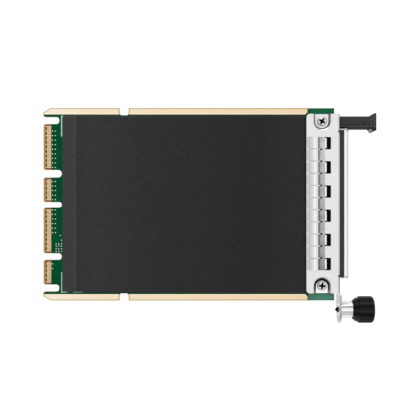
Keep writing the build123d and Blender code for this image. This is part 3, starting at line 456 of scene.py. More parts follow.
def bracket_light_and_shade(tree, grid, colour):
    """Painted shade on the ear, the bend, the slits' ends and the cups' walls, and a painted highlight on one cup's
    foot.
    """
    x, y, z = add(tree, "SeparateXYZ", [grid], output=slice(0, 3))
    # painted shade: the ear is darker
    ear_shade = add(tree, "MapRange", {0: y, 1: -35.8, 2: -36.4})
    # painted shade on the bend into the faceplate, strongest beyond the gasket
    above = add(tree, "Math", (z, 1.6), operation="GREATER_THAN")
    bend_shade = add(tree, "MapRange", {0: x, 1: 116.3, 2: 116.6})
    bare = add(tree, "MapRange", {0: y, 1: -28.6, 2: -28.4, 3: 0.9, 4: 0.35})
    bend_shade = ("MULTIPLY", ("MULTIPLY", bend_shade, bare), ("MULTIPLY", ("GREATER_THAN", y, -35.6), above))
    # painted shade: a dark spot at the end of each slit of the spring fingers
    within = ("LESS_THAN", ("ABSOLUTE", y), STRIP_HIGH[1] - 1)
    slit_end_shade = ("MULTIPLY", slit_spots(tree, x, y, 109.5, 0.4, 0.5), ("MULTIPLY", above, within))
    # both cups fold onto one; each is a half circle whose sides run out over the flange's edge
    side = add(tree, "Math", (y, SCREW_MIDDLE[1]), operation="SUBTRACT")
    across = add(tree, "Math", (x, SCREW_MIDDLE[0]), operation="SUBTRACT")
    inward = ("SUBTRACT", ("ABSOLUTE", side), SCREW_REACH)
    inward = add(tree, "Math", (inward, 0.0), operation="MINIMUM")
    away = distance(tree, across, inward)
    # the lower cup lies in the flange's shade on its inner side
    lower = add(tree, "Math", (side, 0.0), operation="LESS_THAN")
    shade = ("MULTIPLY", ("MULTIPLY_ADD", inward, 0.16, -0.3), lower)
    within = add(tree, "Math", (away, ("ADD", shade, 2.62)), operation="SUBTRACT")
    inside = add(tree, "MapRange", {0: within, 1: -0.06, 2: 0.06})
    spread = add(tree, "MapRange", {0: across, 1: 0.0, 2: 2.9, 3: -0.25, 4: 0.1})
    outside = add(tree, "MapRange", {0: ("MULTIPLY_ADD", lower, spread, away), 1: 3.06, 2: 2.88})
    sunk = ("LESS_THAN", z, BRACKET_HIGH[2] - 0.03)
    sunk = add(tree, "Math", (sunk, ("GREATER_THAN", z, 1.4)), operation="MULTIPLY")
    # its sides come out of the shade towards the flange's edge
    lit = add(tree, "MapRange", {0: y, 1: -35.5, 2: -33.4, 3: 0.45, 4: 1.0})
    # painted shade: a dark ring where each cup's wall meets its foot
    ring = ("MULTIPLY", ("MULTIPLY", inside, outside), ("MULTIPLY", sunk, lit))
    # the wall towards the film is in shade, the one towards the faceplate is lit
    wall = add(tree, "MapRange", {0: away, 1: 2.95, 2: 3.75, 3: 0.45, 4: 0.0})
    facing = add(tree, "MapRange", {0: across, 1: -3.0, 2: 3.0, 3: 2.2, 4: 0.2})
    wall = ("MULTIPLY", ("MULTIPLY", wall, ("GREATER_THAN", away, 2.95)), facing)
    # painted highlight: the lower cup's foot is near white
    foot_highlight = add(tree, "MapRange", {0: within, 1: -0.06, 2: -0.3})
    foot_highlight = ("MULTIPLY", foot_highlight, ("MULTIPLY", sunk, lower))
    painted_shade = (ear_shade, "#bdbdbd"), (bend_shade, "#6a6a6a"), (slit_end_shade, "#2a2a2a")
    return layered(tree, colour, *painted_shade, (foot_highlight, "#ffffff"), (wall, "#b4b4b4"), (ring, "#161616"))


def shank_tip(tree, grid, colour):
    """Black oxide left on the screw's point."""
    tip = add(tree, "MapRange", {0: add(tree, "SeparateXYZ", [grid]), 1: 117.45, 2: 117.3})
    return layered(tree, colour, (tip, "#0c0c0d"))


def finger_material():
    """Nickel-plated spring bronze: painted highlights on its crests and clips, painted shade in its crease, a darker
    flat behind it.
    """
    material, tree, shader, grid = new_material("nickel_plated_spring_bronze", "#f4f4f4", 1.0, 0.22)
    x, y, _ = add(tree, "SeparateXYZ", [grid], output=slice(0, 3))
    # across the strip: painted highlights on the crests, painted shade in the crease, a darker flat, and a painted
    # highlight on the clips
    crest_highlights = (0.0, "#fcfcfc"), (0.1, "#f6f6f6"), (0.24, "#e9e9e9"), (0.31, "#ffffff"), (0.53, "#fcfcfc")
    crease_shade = (0.56, "#a8a8a8"), (0.59, "#7a7a7a"), (0.63, "#8c8c8c"), (0.66, "#b0b0b0")
    flat = (0.74, "#c4c4c4"), (0.89, "#c6c6c6"), (0.92, "#fcfcfc")
    across = add(tree, "MapRange", {0: x, 1: STRIP_LOW[0], 2: STRIP_HIGH[0]})
    tone = add(tree, "ValToRGB", [across], stops=(*crest_highlights, *crease_shade, *flat))
    # the flat behind the crease is darker, more so from the pull tab towards the thumbscrew, and changes from finger
    # to finger
    blotch = add(tree, "VectorMath", (grid, (0.4, 1, 1)), operation="MULTIPLY")
    blotch = add(tree, "TexNoise", {"Vector": blotch, "Scale": 0.3})
    blotch = add(tree, "MapRange", {0: blotch, 1: 0.3, 2: 0.7, 3: -0.1, 4: 0.25})
    drift = add(tree, "MapRange", {0: y, 1: -24.0, 2: 24.0, 3: 0.3, 4: -0.12})
    behind = add(tree, "MapRange", {0: x, 1: 108.2, 2: 108.8})
    behind = ("MULTIPLY", behind, ("LESS_THAN", x, 111.0))
    flat_darkening = ("MULTIPLY", behind, ("ADD", blotch, drift))
    rolled = add(tree, "VectorMath", (grid, (1.0, 0.15, 1.0)), operation="MULTIPLY")
    rolled = add(tree, "TexNoise", {"Vector": rolled, "Scale": 4.0})
    lift = add(tree, "MapRange", {0: rolled, 1: 0.3, 2: 0.7, 3: 0.94, 4: 1.0})
    tone = add(tree, "VectorMath", {0: tone, "Scale": ("SUBTRACT", lift, flat_darkening)}, operation="SCALE")
    # at the strip's hem each slit ends in a bright notch with a painted shadow as a dark tick behind it, and at its
    # root in a spot of painted shade
    places = (104.25, 0.5, 0.65), (104.95, 0.2, 0.35), (109.75, 0.25, 0.4)
    notch, notch_shadow, slit_end_shade = (slit_spots(tree, x, y, *place) for place in places)
    dark = ("MAXIMUM", ("MULTIPLY", notch_shadow, 0.5), slit_end_shade)
    rough = add(tree, "MapRange", {0: rolled, 1: 0.3, 2: 0.7, 3: 0.17, 4: 0.27})
    fill(shader, {"Base Color": layered(tree, tone, (dark, "#3c3c3c"), (notch, "#ffffff")), "Roughness": rough})
    return material


def plastic_material(name, base, roughness=0.45, level=0.3, paint=None):
    """Moulded plastic: an even tone with a fine spark-eroded grain; paint adds marks to its colour."""
    material, tree, shader, grid = new_material(name, base, roughness=roughness, Specular_IOR_Level=level)
    grain = add(tree, "TexNoise", {"Vector": grid, "Scale": 2.8, "Detail": 3.0})
    plain = rgba(base)[:3]
    pale = tuple(c * 1.5 + 0.003 for c in plain)
    colour = add(tree, "ValToRGB", [grain], stops=((0.4, plain), (0.75, pale)))
    colour = paint(tree, grid, colour) if paint else colour
    bump = add(tree, "Bump", {"Height": grain, "Distance": 0.03 * MM, "Strength": 0.4})
    fill(shader, {"Base Color": colour, "Normal": bump})
    return material


def knob_groove_shading(tree, grid, colour):
    """Painted shade in the ten shallow grooves between the knob's grips, and painted highlights on the grips."""
    low, high = box_mm("thumbscrew_knob")
    _, y, z = add(tree, "SeparateXYZ", [grid], output=slice(0, 3))
    across, upward = ("SUBTRACT", y, (low[1] + high[1]) / 2), ("SUBTRACT", z, (low[2] + high[2]) / 2)
    phase = ("PINGPONG", ("ARCTAN2", across, upward), math.pi / 10)
    # painted shade in the grooves, painted highlights on the grips between them
    groove_shading = add(tree, "MapRange", {0: phase, 1: 0.1, 2: 0.19, 3: 1.7, 4: 0.2})
    return add(tree, "VectorMath", {0: colour, "Scale": groove_shading}, operation="SCALE")


def tinned_leads(tree, grid, colour):
    """Bare tin on the leads beside the flash memory's moulded body."""
    low, high = box_mm("flash_memory")
    x, y, _ = add(tree, "SeparateXYZ", [grid], output=slice(0, 3))
    across = ("ABSOLUTE", ("SUBTRACT", x, (low[0] + high[0]) / 2))
    beside = ("MULTIPLY", ("LESS_THAN", y, high[1] + 0.5), ("GREATER_THAN", y, low[1] - 0.5))
    out = ("GREATER_THAN", across, FLASH_BODY_HALF + 0.01)
    lead = add(tree, "Math", (out, beside), operation="MULTIPLY")
    fill(tree.nodes["Principled BSDF"], {"Metallic": lead})
    return layered(tree, colour, (lead, "#c9c9c4"))


def tantalum_bands(tree, grid, colour):
    """A pale band at the positive end of each tantalum case."""
    low, high = box_mm("bulk_capacitors")
    pitch = (high[0] - low[0] - TANTALUM_LENGTH) / 3
    along = ("SUBTRACT", add(tree, "SeparateXYZ", [grid]), low[0])
    along = add(tree, "Math", (along, pitch), operation="FLOORED_MODULO")
    band = add(tree, "MapRange", {0: along, 1: 1.3, 2: 1.25})
    return layered(tree, colour, (("MULTIPLY", band, ("GREATER_THAN", along, 0.35)), "#9a8f78"))


def tab_material():
    """Moulded nylon pull tab: dark grey face, with painted shade along the lower edge below a thin painted
    highlight, painted shade on its sides and painted highlights on the bar at its end and on the flare's lower ramp."""
    material, tree, shader, grid = new_material("moulded_nylon_tab", "#2c2c2d", 0.0, 0.6, Specular_IOR_Level=0.02)
    x, y, z = add(tree, "SeparateXYZ", [grid], output=slice(0, 3))
    across = add(tree, "MapRange", {0: y, 1: TAB_LOW[1] + 0.8, 2: TAB_HIGH[1] - 0.8})
    # painted shade along the lower edge, below a thin painted highlight on its rounded edge
    lower_edge_shading = (0.0, "#121212"), (0.1, "#1a1a1a"), (0.14, "#585858"), (0.19, "#353535")
    tone = add(tree, "ValToRGB", [across], stops=(*lower_edge_shading, (0.85, "#3e3e3f"), (0.97, "#363637")))
    grain = add(tree, "TexNoise", {"Vector": grid, "Scale": 2.5, "Detail": 3.0})
    lift = add(tree, "MapRange", {0: grain, 1: 0.35, 2: 0.7, 3: 1.05, 4: 1.4})
    # its sides are painted darker than the top face, as shade
    side = add(tree, "MapRange", {0: z, 1: TAB_HIGH[2] - 0.9, 2: TAB_HIGH[2] - 0.3, 3: 0.25, 4: 1.0})
    tone = add(tree, "VectorMath", {0: tone, "Scale": ("MULTIPLY", lift, side)}, operation="SCALE")
    top = add(tree, "Math", (z, TAB_HIGH[2] - 0.3), operation="GREATER_THAN")
    # painted highlights along the edges of the bar at its end
    for place in (TAB_HIGH[0] - 1.95, TAB_HIGH[0] - 0.8):
        off = ("ABSOLUTE", ("SUBTRACT", x, place))
        line = add(tree, "MapRange", {0: off, 1: 0.15, 2: 0.25, 3: 0.35, 4: 0.0})
        tone = layered(tree, tone, (("MULTIPLY", line, top), "#6c6c6c"))
    # a painted highlight makes the lower ramp of the flare pale
    ramp = ("MULTIPLY", ("GREATER_THAN", x, TAB_HIGH[0] - 1.45), ("LESS_THAN", x, TAB_HIGH[0] - 0.8))
    under = ("MULTIPLY", ("LESS_THAN", y, TAB_LOW[1] + 1.28), ("LESS_THAN", z, TAB_HIGH[2] - 3.7))
    tone = layered(tree, tone, (("MULTIPLY", ramp, under), "#e6e6e6"))
    bump = add(tree, "Bump", {"Height": grain, "Distance": 0.03 * MM, "Strength": 0.4})
    fill(shader, {"Base Color": tone, "Normal": bump})
    return material


def screw_material():
    """Nickel-plated screw: bright head with a grey ring near its rim, and painted shade in the cross recess."""
    material, tree, shader, grid = new_material("nickel_plated_screw", "#e0e0e0", metallic=1.0, roughness=0.28)
    x, y, z = add(tree, "SeparateXYZ", [grid], output=slice(0, 3))
    # both screws fold onto one by the distance from the middle line between them
    along = ("SUBTRACT", ("ABSOLUTE", ("SUBTRACT", y, SCREW_MIDDLE[1])), SCREW_REACH)
    radius = distance(tree, ("SUBTRACT", x, SCREW_MIDDLE[0]), along)
    rings = (0.6, "#efefef"), (0.7, "#e2e2e2"), (0.76, "#8e8e8e"), (0.8, "#e6e6e6"), (0.88, "#c4c4c4")
    ring = add(tree, "ValToRGB", [("MULTIPLY", radius, 0.5)], stops=(*rings, (0.95, "#9c9c9c")))
    # painted shade: the cross recess is near black
    deep = add(tree, "MapRange", {0: z, 1: SCREW_HIGH[2] - 0.02, 2: SCREW_HIGH[2] - 0.1})
    recess_shade = ("MULTIPLY", deep, ("LESS_THAN", radius, 1.3))
    fill(shader, {"Base Color": layered(tree, ring, (recess_shade, "#0a0a0a"))})
    return material


def lip_material():
    """Bright-rolled cage lip: near white, with the thin grey line of its folded edge."""
    material, tree, shader, grid = new_material("cage_front_lip", "#fafafa", metallic=1.0, roughness=0.3)
    _, high = box_mm("cage_front_frame")
    along = add(tree, "MapRange", {0: add(tree, "SeparateXYZ", [grid]), 1: high[0] - 1.7, 2: high[0]})
    line = (0.62, "#fbfbfb"), (0.72, "#c2c2c2"), (0.84, "#c6c6c6"), (0.92, "#f4f4f4")
    tone = add(tree, "ValToRGB", [along], stops=((0.0, "#d6d6d6"), (0.12, "#fbfbfb"), *line))
    rolled = add(tree, "VectorMath", (grid, (1.0, 0.1, 1.0)), operation="MULTIPLY")
    rolled = add(tree, "TexNoise", {"Vector": rolled, "Scale": 3.0})
    lift = add(tree, "MapRange", {0: rolled, 1: 0.3, 2: 0.7, 3: 0.96, 4: 1.0})
    fill(shader, {"Base Color": add(tree, "VectorMath", {0: tone, "Scale": lift}, operation="SCALE")})
    return material


def chrome_material():
    """Chromed ferrule: mirror bright, turned round its axis, with painted shade on its curved sides."""
    material, tree, shader, grid = new_material("chromed_ferrule", metallic=1.0, roughness=0.09)
    low, high = box_mm("thumbscrew_ferrule")
    width = high[1] - low[1]
    turned = add(tree, "VectorMath", (grid, (3, 0.2, 0.2)), operation="MULTIPLY")
    turned = add(tree, "TexNoise", {"Vector": turned})
    colour = add(tree, "ValToRGB", [turned], stops=((0.35, "#f2f2f2"), (0.65, "#fbfbfb")))
    y = add(tree, "SeparateXYZ", [grid], output=1)
    # painted shade towards the sides of the round ferrule
    side = ("ABSOLUTE", ("SUBTRACT", y, (low[1] + high[1]) / 2))
    side = add(tree, "MapRange", {0: side, 1: 0.35 * width, 2: 0.48 * width, 4: 0.8})
    fill(shader, {"Base Color": layered(tree, colour, (side, "#cdcdcd"))})
    return material


def clear_material():
    """Clear acrylic light pipe: colourless, polished, with a faint haze."""
    settings = {"roughness": 0.08, "IOR": 1.49, "Transmission_Weight": 0.85}
    material, tree, shader, grid = new_material("clear_acrylic", "#f4f8f8", **settings)
    haze = add(tree, "TexNoise", {"Vector": grid, "Scale": 1.25})
    fill(shader, {"Roughness": add(tree, "MapRange", {0: haze, 1: 0.3, 2: 0.7, 3: 0.05, 4: 0.16})})
    return material


def heatsink_material():
    """Extruded aluminium: matt silver with die lines along the fins."""
    material, tree, shader, grid = new_material("extruded_aluminium", "#c9cacb", metallic=1.0, roughness=0.4)
    lines = add(tree, "VectorMath", (grid, (0.0125, 1.0, 1.0)), operation="MULTIPLY")
    lines = add(tree, "TexNoise", {"Vector": lines, "Scale": 6.0})
    cloud = add(tree, "TexNoise", {"Vector": grid, "Scale": 0.2})
    colour = add(tree, "ValToRGB", [lines], stops=((0.35, "#b9babc"), (0.65, "#dcdddd")))
    rough = add(tree, "MapRange", {0: cloud, 1: 0.3, 2: 0.7, 3: 0.34, 4: 0.48})
    bump = add(tree, "Bump", {"Height": lines, "Distance": 0.01 * MM, "Strength": 0.5})
    fill(shader, {"Base Color": colour, "Roughness": rough, "Normal": bump})
    return material


# Operators


class CARD_OT_board(Operator):
    """Finish the circuit board, its contacts and plated edges, and add its vias and printed lines."""

    bl_idname = "card.board"
    bl_label = "Circuit board"

    def execute(self, context):
        sizes = context.scene.card_sizes
        apply_material(board_material(), "circuit_board")
        # hard gold, rubbed paler along the stripes where the slot's springs run
        gold, metal = context.scene.card_colours.gold, {"metallic": 1.0, "roughness": 0.42}
        tones = ((0.35, gold), (0.65, "#eed7b3"))
        gold = speckled_material("hard_gold_contacts", 1.2, tones, (1, 0.3, 1), base=gold, **metal)
        apply_material(gold, "edge_contacts")
        # contacts: every third one is a ground contact and starts nearer to the card's edge
        middles, fronts = [], []
        for (middle, half), count in zip(tongue_rows(), CONTACT_COUNTS):
            order = np.arange(count)
            middles.append(middle + (order - (count - 1) / 2) * sizes.contact_pitch / MM)
            fronts.append(np.where(order % 3 == 0, 0.9, 1.4))
        middles, fronts, back = np.concatenate(middles), np.concatenate(fronts), PAD_HIGH[0] + 0.1
        every = np.ones(len(fronts))
        lengths = np.stack([back - fronts, CONTACT_WIDTH * every, CONTACT_THICKNESS * every], 1)
        levels = PAD_HIGH[2] - CONTACT_THICKNESS / 2, PAD_LOW[2] + CONTACT_THICKNESS / 2
        centres = [np.stack([(fronts + back) / 2, middles, level * every], 1) for level in levels]
        pads = boxes(np.vstack(centres), np.vstack([lengths] * 2))
        pads = new_piece("gold_contacts", *pads, material=gold, slot="gold_plate")
        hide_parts("edge_contacts")
        apply_material(guide_material(), "guide_plating_left", "guide_plating_right")
        top = BOARD_HIGH[2]
        ground = 3 * sizes.contact_pitch / MM
        lands, tented = [], []
        # rows per tongue: vias beside the ground contacts, counted from the tongue's -Y end
        rows_columns = (range(9), 2), (range(5), 2), (range(4, 10), 2), ((3, 4), 1)
        for (middle, half), (rows, columns) in zip(tongue_rows(), rows_columns):
            low = middle - half + TONGUE_MARGIN
            for row in rows:
                for x in (3.56, 4.7)[:columns]:
                    lands.append((x, low + row * ground, top))
                    between = [low + (row + third) * ground for third in (1 / 3, 2 / 3)]
                    tented += [(x, y, top) for y in between if y < middle + half - 0.6]
        lands += [(x, y, top) for x in (5.02, 6.05, 7.12) for y in (-15.63, -16.55, -17.6, -18.68)]
        lands += [(6.59, -12.3, top), (7.12, -14.25, top)]
        radius = sizes.via_diameter / MM / 2
        rim = [(radius, 0), (radius, 0.02), (0.75 * radius, 0.035), (0.35 * radius, 0.02)]
        points, faces = revolved([(0, 0), *rim, (0, 0.012)], 14)
        # the same vias come out on the component side, where the points are mirrored in the board's middle plane
        upper, upper_faces = repeated(points, faces, lands)
        both = joined([(upper, upper_faces), (upper * (1, 1, -1), upper_faces[:, ::-1])])
        # tinned copper, near white
        tin = speckled_material("tinned_via_lands", 0.7, ((0.35, "#dbeadb"), (0.65, "#f2fbf2")))
        new_piece("via_lands", *both, material=tin, slot="gold_plate")
        dimple = [(0, 0), (0.2, 0), (0.2, 0.012), (0.12, 0.018), (0, 0.008)]
        points, faces = revolved(dimple, 12)
        # mask sunk into the holes, darker than round them
        sunk = {"roughness": 0.4, "Specular_IOR_Level": 0.1}
        dark = speckled_material("tented_vias", 1.25, ((0.35, "#00301c"), (0.65, "#013a24")), **sunk)
        new_piece("tented_vias", *repeated(points, faces, tented), material=dark, slot="board_laminate")
        # pale ink with worn spots
        tones = ((0.4, "#b6ded6"), (0.6, "#a6d3c9"))
        ink = speckled_material("printed_outline_ink", 2.5, tones, roughness=0.6)
        width = sizes.print_width / MM
        paths = (
            ([(7.9, 34.8), (7.17, 34.8), (7.17, 26.8)], width),
            ([(7.2, -26.8), (7.2, -34.72), (9.5, -34.72)], 0.7 * width),
            ([(11.8, -34.72), (15.3, -34.72)], 0.7 * width),
        )
        lines = joined([ribbon(path, line, top, top + INK_THICKNESS) for path, line in paths])
        new_piece("printed_outline", *lines, material=ink, slot="board_laminate")
        return {"FINISHED"}


class CARD_OT_film(Operator):
    """Make the folded insulating film and finish the tape under it."""

    bl_idname = "card.film"
    bl_label = "Insulating film"

    def execute(self, context):
        sizes = context.scene.card_sizes
        low, high = FILM_LOW, FILM_HIGH
        fold, rise_start, shoulder = FILM_FOLD, low[0] + 1.25, BRACKET_LOW[0] + 1.25
        top_corner, bottom_corner, tail_corner = 0.9, 1.8, 0.6
        tongue_half, tongue_middle = 27.3, 0.25
        base, top = low[2] + FILM_THICKNESS, high[2]
        # x is dense near the ends, the fold and the shoulder, so that the corners and the crease are round
        x = np.concatenate(
            [
                low[0] + bottom_corner * (1 - np.cos(np.linspace(0, math.pi / 2, 15))),
                np.linspace(rise_start + 0.8, fold - 1.2, 4),
                np.linspace(fold - 1.0, fold + 1.0, 13),
                np.linspace(fold + 2.5, shoulder - 1.2, 60),
                shoulder - tail_corner * (1 - np.cos(np.linspace(math.pi / 2, 0, 7))),
                [shoulder + 0.02],
                np.linspace(shoulder + 1.0, high[0], 6),
            ]
        )
        v = np.linspace(-1, 1, 61)
        # height: flat foot, straight rise, flat top, with each bend rounded by a smooth step
        share = np.clip((x - rise_start) / (fold - rise_start), 0, 1)
        height = base + (top - base) * share
        height = np.convolve(np.pad(height, 1, mode="edge"), (0.25, 0.5, 0.25), "valid")
        # each side pulls in along quarter circles: r - sqrt(r^2 - (r - d)^2) at a distance d from the end
        sides = []
        for edge, corner, tongue in ((high[1], top_corner, 1), (low[1], bottom_corner, -1)):
            pull = 0.0
            for radius, away in ((corner, x - low[0]), (tail_corner, shoulder - x)):
                short = radius - np.clip(away, 0, radius)
                pull = pull + radius - np.sqrt(radius**2 - short**2)
            # the edge nearer to the thumbscrew runs slightly off square
            slant = 0.35 * np.clip(1 - (x - 16) / 80, 0, 1) if tongue < 0 else 0
            wide = edge - tongue * (pull + slant)
            sides.append(np.where(x > shoulder, tongue_middle + tongue * tongue_half, wide))
        middle, half = (sides[0] + sides[1]) / 2, (sides[0] - sides[1]) / 2
        grid_x = np.repeat(x[:, None], len(v), 1)
        grid_y = middle[:, None] + half[:, None] * v[None, :]
        ripple = np.sin(grid_x / 9.0 + 1.3 * np.sin(grid_y / 17.0))
        ripple = ripple * np.cos(grid_y / 12.0 + 0.7 * np.sin(grid_x / 23.0))
        free = np.clip((grid_x - fold) / 6, 0, 1) * (1 - np.abs(v[None, :]) ** 6)
        grid_z = height[:, None] - sizes.film_ripple / MM * (1 + ripple) / 2 * free
        upper = np.stack([grid_x, grid_y, grid_z], -1)
        lower = upper - (0, 0, FILM_THICKNESS)
        rows, columns = len(x), len(v)
        faces = quads(rows, columns)
        count = rows * columns
        # the rim runs round the grid: first row, last column, last row, first column
        order = np.arange(count).reshape(rows, columns)
        rim = np.concatenate([order[0], order[1:, -1], order[-1, -2::-1], order[-2:0:-1, 0]])
        after = np.roll(rim, -1)
        walls = np.stack([rim, after, after + count, rim + count], -1)
        points = np.concatenate([upper.reshape(-1, 3), lower.reshape(-1, 3)])
        every = np.concatenate([faces, faces[:, ::-1] + count, walls])
        film = new_piece("folded_film", points, every, material=film_material(), slot="black_film")
        smooth(film, 35)
        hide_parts("insulator_film")
        apply_material(plastic_material("foam_tape", "#3a3a3a", 0.9), "film_tape")
        return {"FINISHED"}


class CARD_OT_bracket(Operator):
    """Finish the bracket, its screws and nuts and the finger strips."""

    bl_idname = "card.bracket"
    bl_label = "Bracket"

    def execute(self, context):
        steel = context.scene.card_colours.steel
        steel = steel_material("zinc_plated_sheet_steel", steel, 0.3, (1, 14, 1), 0.02, paint=bracket_light_and_shade)
        apply_material(steel, "bracket")
        apply_material(finger_material(), "spring_fingers_solder_side", "spring_fingers_component_side")
        # heads: rounded discs whose tops sink in the shape of a cross, depth 0.75 times a smooth step over its arms
        seat, top, low = SCREW_HIGH[2] - 1.1, SCREW_HIGH[2], SCREW_LOW[2]
        round_angle = np.linspace(0, math.pi / 2, 8)
        cap = np.stack([np.linspace(0, 1.3, 27), np.full(27, top)], 1)
        edge = np.stack([1.4 + 0.45 * np.sin(round_angle), top - 0.45 * (1 - np.cos(round_angle))], 1)
        stem = [(SCREW_RADIUS, seat), (1.02, seat), (1.02, low + 0.2), (0.85, low), (0, low)]
        parts = []
        for reach, turned in ((SCREW_REACH, math.radians(-30)), (-SCREW_REACH, math.radians(-7))):
            ring, faces = revolved(np.vstack([cap, edge, stem]), 120)
            radius = np.hypot(ring[..., 0], ring[..., 1])
            angle = np.arctan2(ring[..., 1], ring[..., 0]) - turned
            a, b = np.abs(radius * np.cos(angle)), np.abs(radius * np.sin(angle))
            arm, half = 1.2, 0.4
            over = np.minimum(np.maximum(a / arm, b / half), np.maximum(a / half, b / arm))
            step = np.clip((1.06 - over) / 0.14, 0, 1)
            sunk = 0.75 * step**2 * (3 - 2 * step) * (radius < 1.31) * (ring[..., 2] > top - 0.01)
            # a small boss stays in the middle of the recess
            sunk *= 1 - 0.5 * np.exp(-((radius / 0.22) ** 2))
            ring[..., 2] -= sunk
            parts.append((ring.reshape(-1, 3) + (SCREW_MIDDLE[0], SCREW_MIDDLE[1] + reach, 0), faces))
        screws = new_piece("pan_head_screws", *joined(parts), material=screw_material(), slot="bright_steel")
        smooth(screws, 40)
        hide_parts("bracket_screws")
        apply_material(steel_material("tinned_steel_nut", "#c4c4c0", 0.4), "bracket_nuts", "heatsink_screws")
        return {"FINISHED"}


class CARD_OT_pull_tab(Operator):
    """Finish the moulded pull tab."""

    bl_idname = "card.pull_tab"
    bl_label = "Pull tab"

    def execute(self, context):
        apply_material(tab_material(), "pull_tab")
        return {"FINISHED"}


class CARD_OT_thumbscrew(Operator):
    """Finish the captive thumbscrew and coil its spring."""

    bl_idname = "card.thumbscrew"
    bl_label = "Thumbscrew"

    def execute(self, context):
        sizes = context.scene.card_sizes
        black = context.scene.card_colours.plastic
        apply_material(chrome_material(), "thumbscrew_ferrule")
        apply_material(steel_material("oxide_tipped_steel", "#e6e6e6", 0.7, paint=shank_tip), "thumbscrew_shank")
        apply_material(plastic_material("moulded_nylon_knob", black, 0.42, 0.12, knob_groove_shading), "thumbscrew_knob")
        low, high = box_mm("thumbscrew_spring")
        wire = sizes.spring_wire / MM
        mean = (high[1] - low[1] - wire) / 2
        middle = (low + high) / 2
        steps, ring = 24 * sizes.spring_turns, 10
        t = np.linspace(0, 1, steps + 1)
        # a helix whose pitch falls away over the first and last turn, so that its ends close
        ease = np.clip(t * sizes.spring_turns, 0, 1) * np.clip((1 - t) * sizes.spring_turns, 0, 1)
        along = np.concatenate([[0], np.cumsum((ease[1:] + ease[:-1]) / 2 + 0.12)])
        along = low[0] + wire / 2 + along / along[-1] * (high[0] - low[0] - wire)
        turn = 2 * math.pi * sizes.spring_turns * t
        out = np.stack([np.zeros_like(turn), np.cos(turn), np.sin(turn)], -1)
        centre = np.stack([along, middle[1] + mean * np.cos(turn), middle[2] + mean * np.sin(turn)], -1)
        around = np.linspace(0, 2 * math.pi, ring, endpoint=False)
        tube = np.cos(around)[None, :, None] * out[:, None] + np.sin(around)[None, :, None] * (1.0, 0, 0)
        tube = centre[:, None] + wire / 2 * tube
        faces = quads(steps + 1, ring, wrap=True)
        points = np.concatenate([tube.reshape(-1, 3), centre[:1], centre[-1:]])
        tip = len(points) - 2
        following = (np.arange(ring) + 1) % ring
        last = steps * ring
        caps = [(i, j, tip) for i, j in zip(following, range(ring))]
        caps += [(last + i, last + j, tip + 1) for i, j in zip(range(ring), following)]
        steel = steel_material("spring_steel_wire", "#b8b8b8", 0.3)
        spring = new_piece("coil_spring", points, [*faces, *caps], "plunger", steel, "bright_steel")
        smooth(spring, 60)
        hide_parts("thumbscrew_spring")
        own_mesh(spring)
        return {"FINISHED"}


class CARD_OT_cage(Operator):
    """Finish the port cage, its gasket and lip, the port connectors and their contacts."""

    bl_idname = "card.cage"
    bl_label = "Port cage"

    def execute(self, context):
        cage = steel_material("nickel_silver_cage", "#d2d0cb", 0.32, (6, 1, 1), 0.015)
        apply_material(cage, "cage_cover", "cage_floor", "cage_divider_1", "cage_divider_2", "cage_divider_3")
        apply_material(lip_material(), "cage_front_frame")
        apply_material(plastic_material("conductive_rubber_gasket", "#3b3b3b", 0.75, 0.2), "cage_gasket")
        connector = plastic_material("moulded_connector", "#232323", 0.5)
        gold = NODES["edge_contacts"].data.materials[0]
        for index in range(1, 5):
            name = f"port_connector_{index}"
            apply_material(connector, name)
            low, high = box_mm(name)
            middle = (low + high) / 2
            # ten blades on each side of the slot, 0.8 mm apart
            across = middle[1] + (np.arange(10) - 4.5) * 0.8
            centres = [(high[0] - 1.9, y, middle[2] + side * 0.56) for side in (-1, 1) for y in across]
            blades = boxes(centres, (3.4, 0.35, 0.26))
            new_piece(f"port_contacts_{index}", *blades, material=gold, slot="gold_plate")
        return {"FINISHED"}


def bodies(node):
    """The boxes in millimetres of a CAD node's separate bodies, found in a merged copy of its mesh."""
    work = bmesh.new()
    work.from_mesh(NODES[node].data)
    bmesh.ops.remove_doubles(work, verts=work.verts, dist=1e-6)
    work.verts.ensure_lookup_table()
    points = np.array([v.co[:] for v in work.verts]) / MM
    label = np.arange(len(points))
    pairs = np.array([[e.verts[0].index, e.verts[1].index] for e in work.edges])
    work.free()
    # each end of an edge takes the lower of the two labels until nothing changes
    while True:
        lowest = label[pairs].min(1)
        new = label.copy()
        np.minimum.at(new, pairs[:, 0], lowest)
        np.minimum.at(new, pairs[:, 1], lowest)
        if (new == label).all():
            break
        label = new
    return [(points[label == each].min(0), points[label == each].max(0)) for each in np.unique(label)]


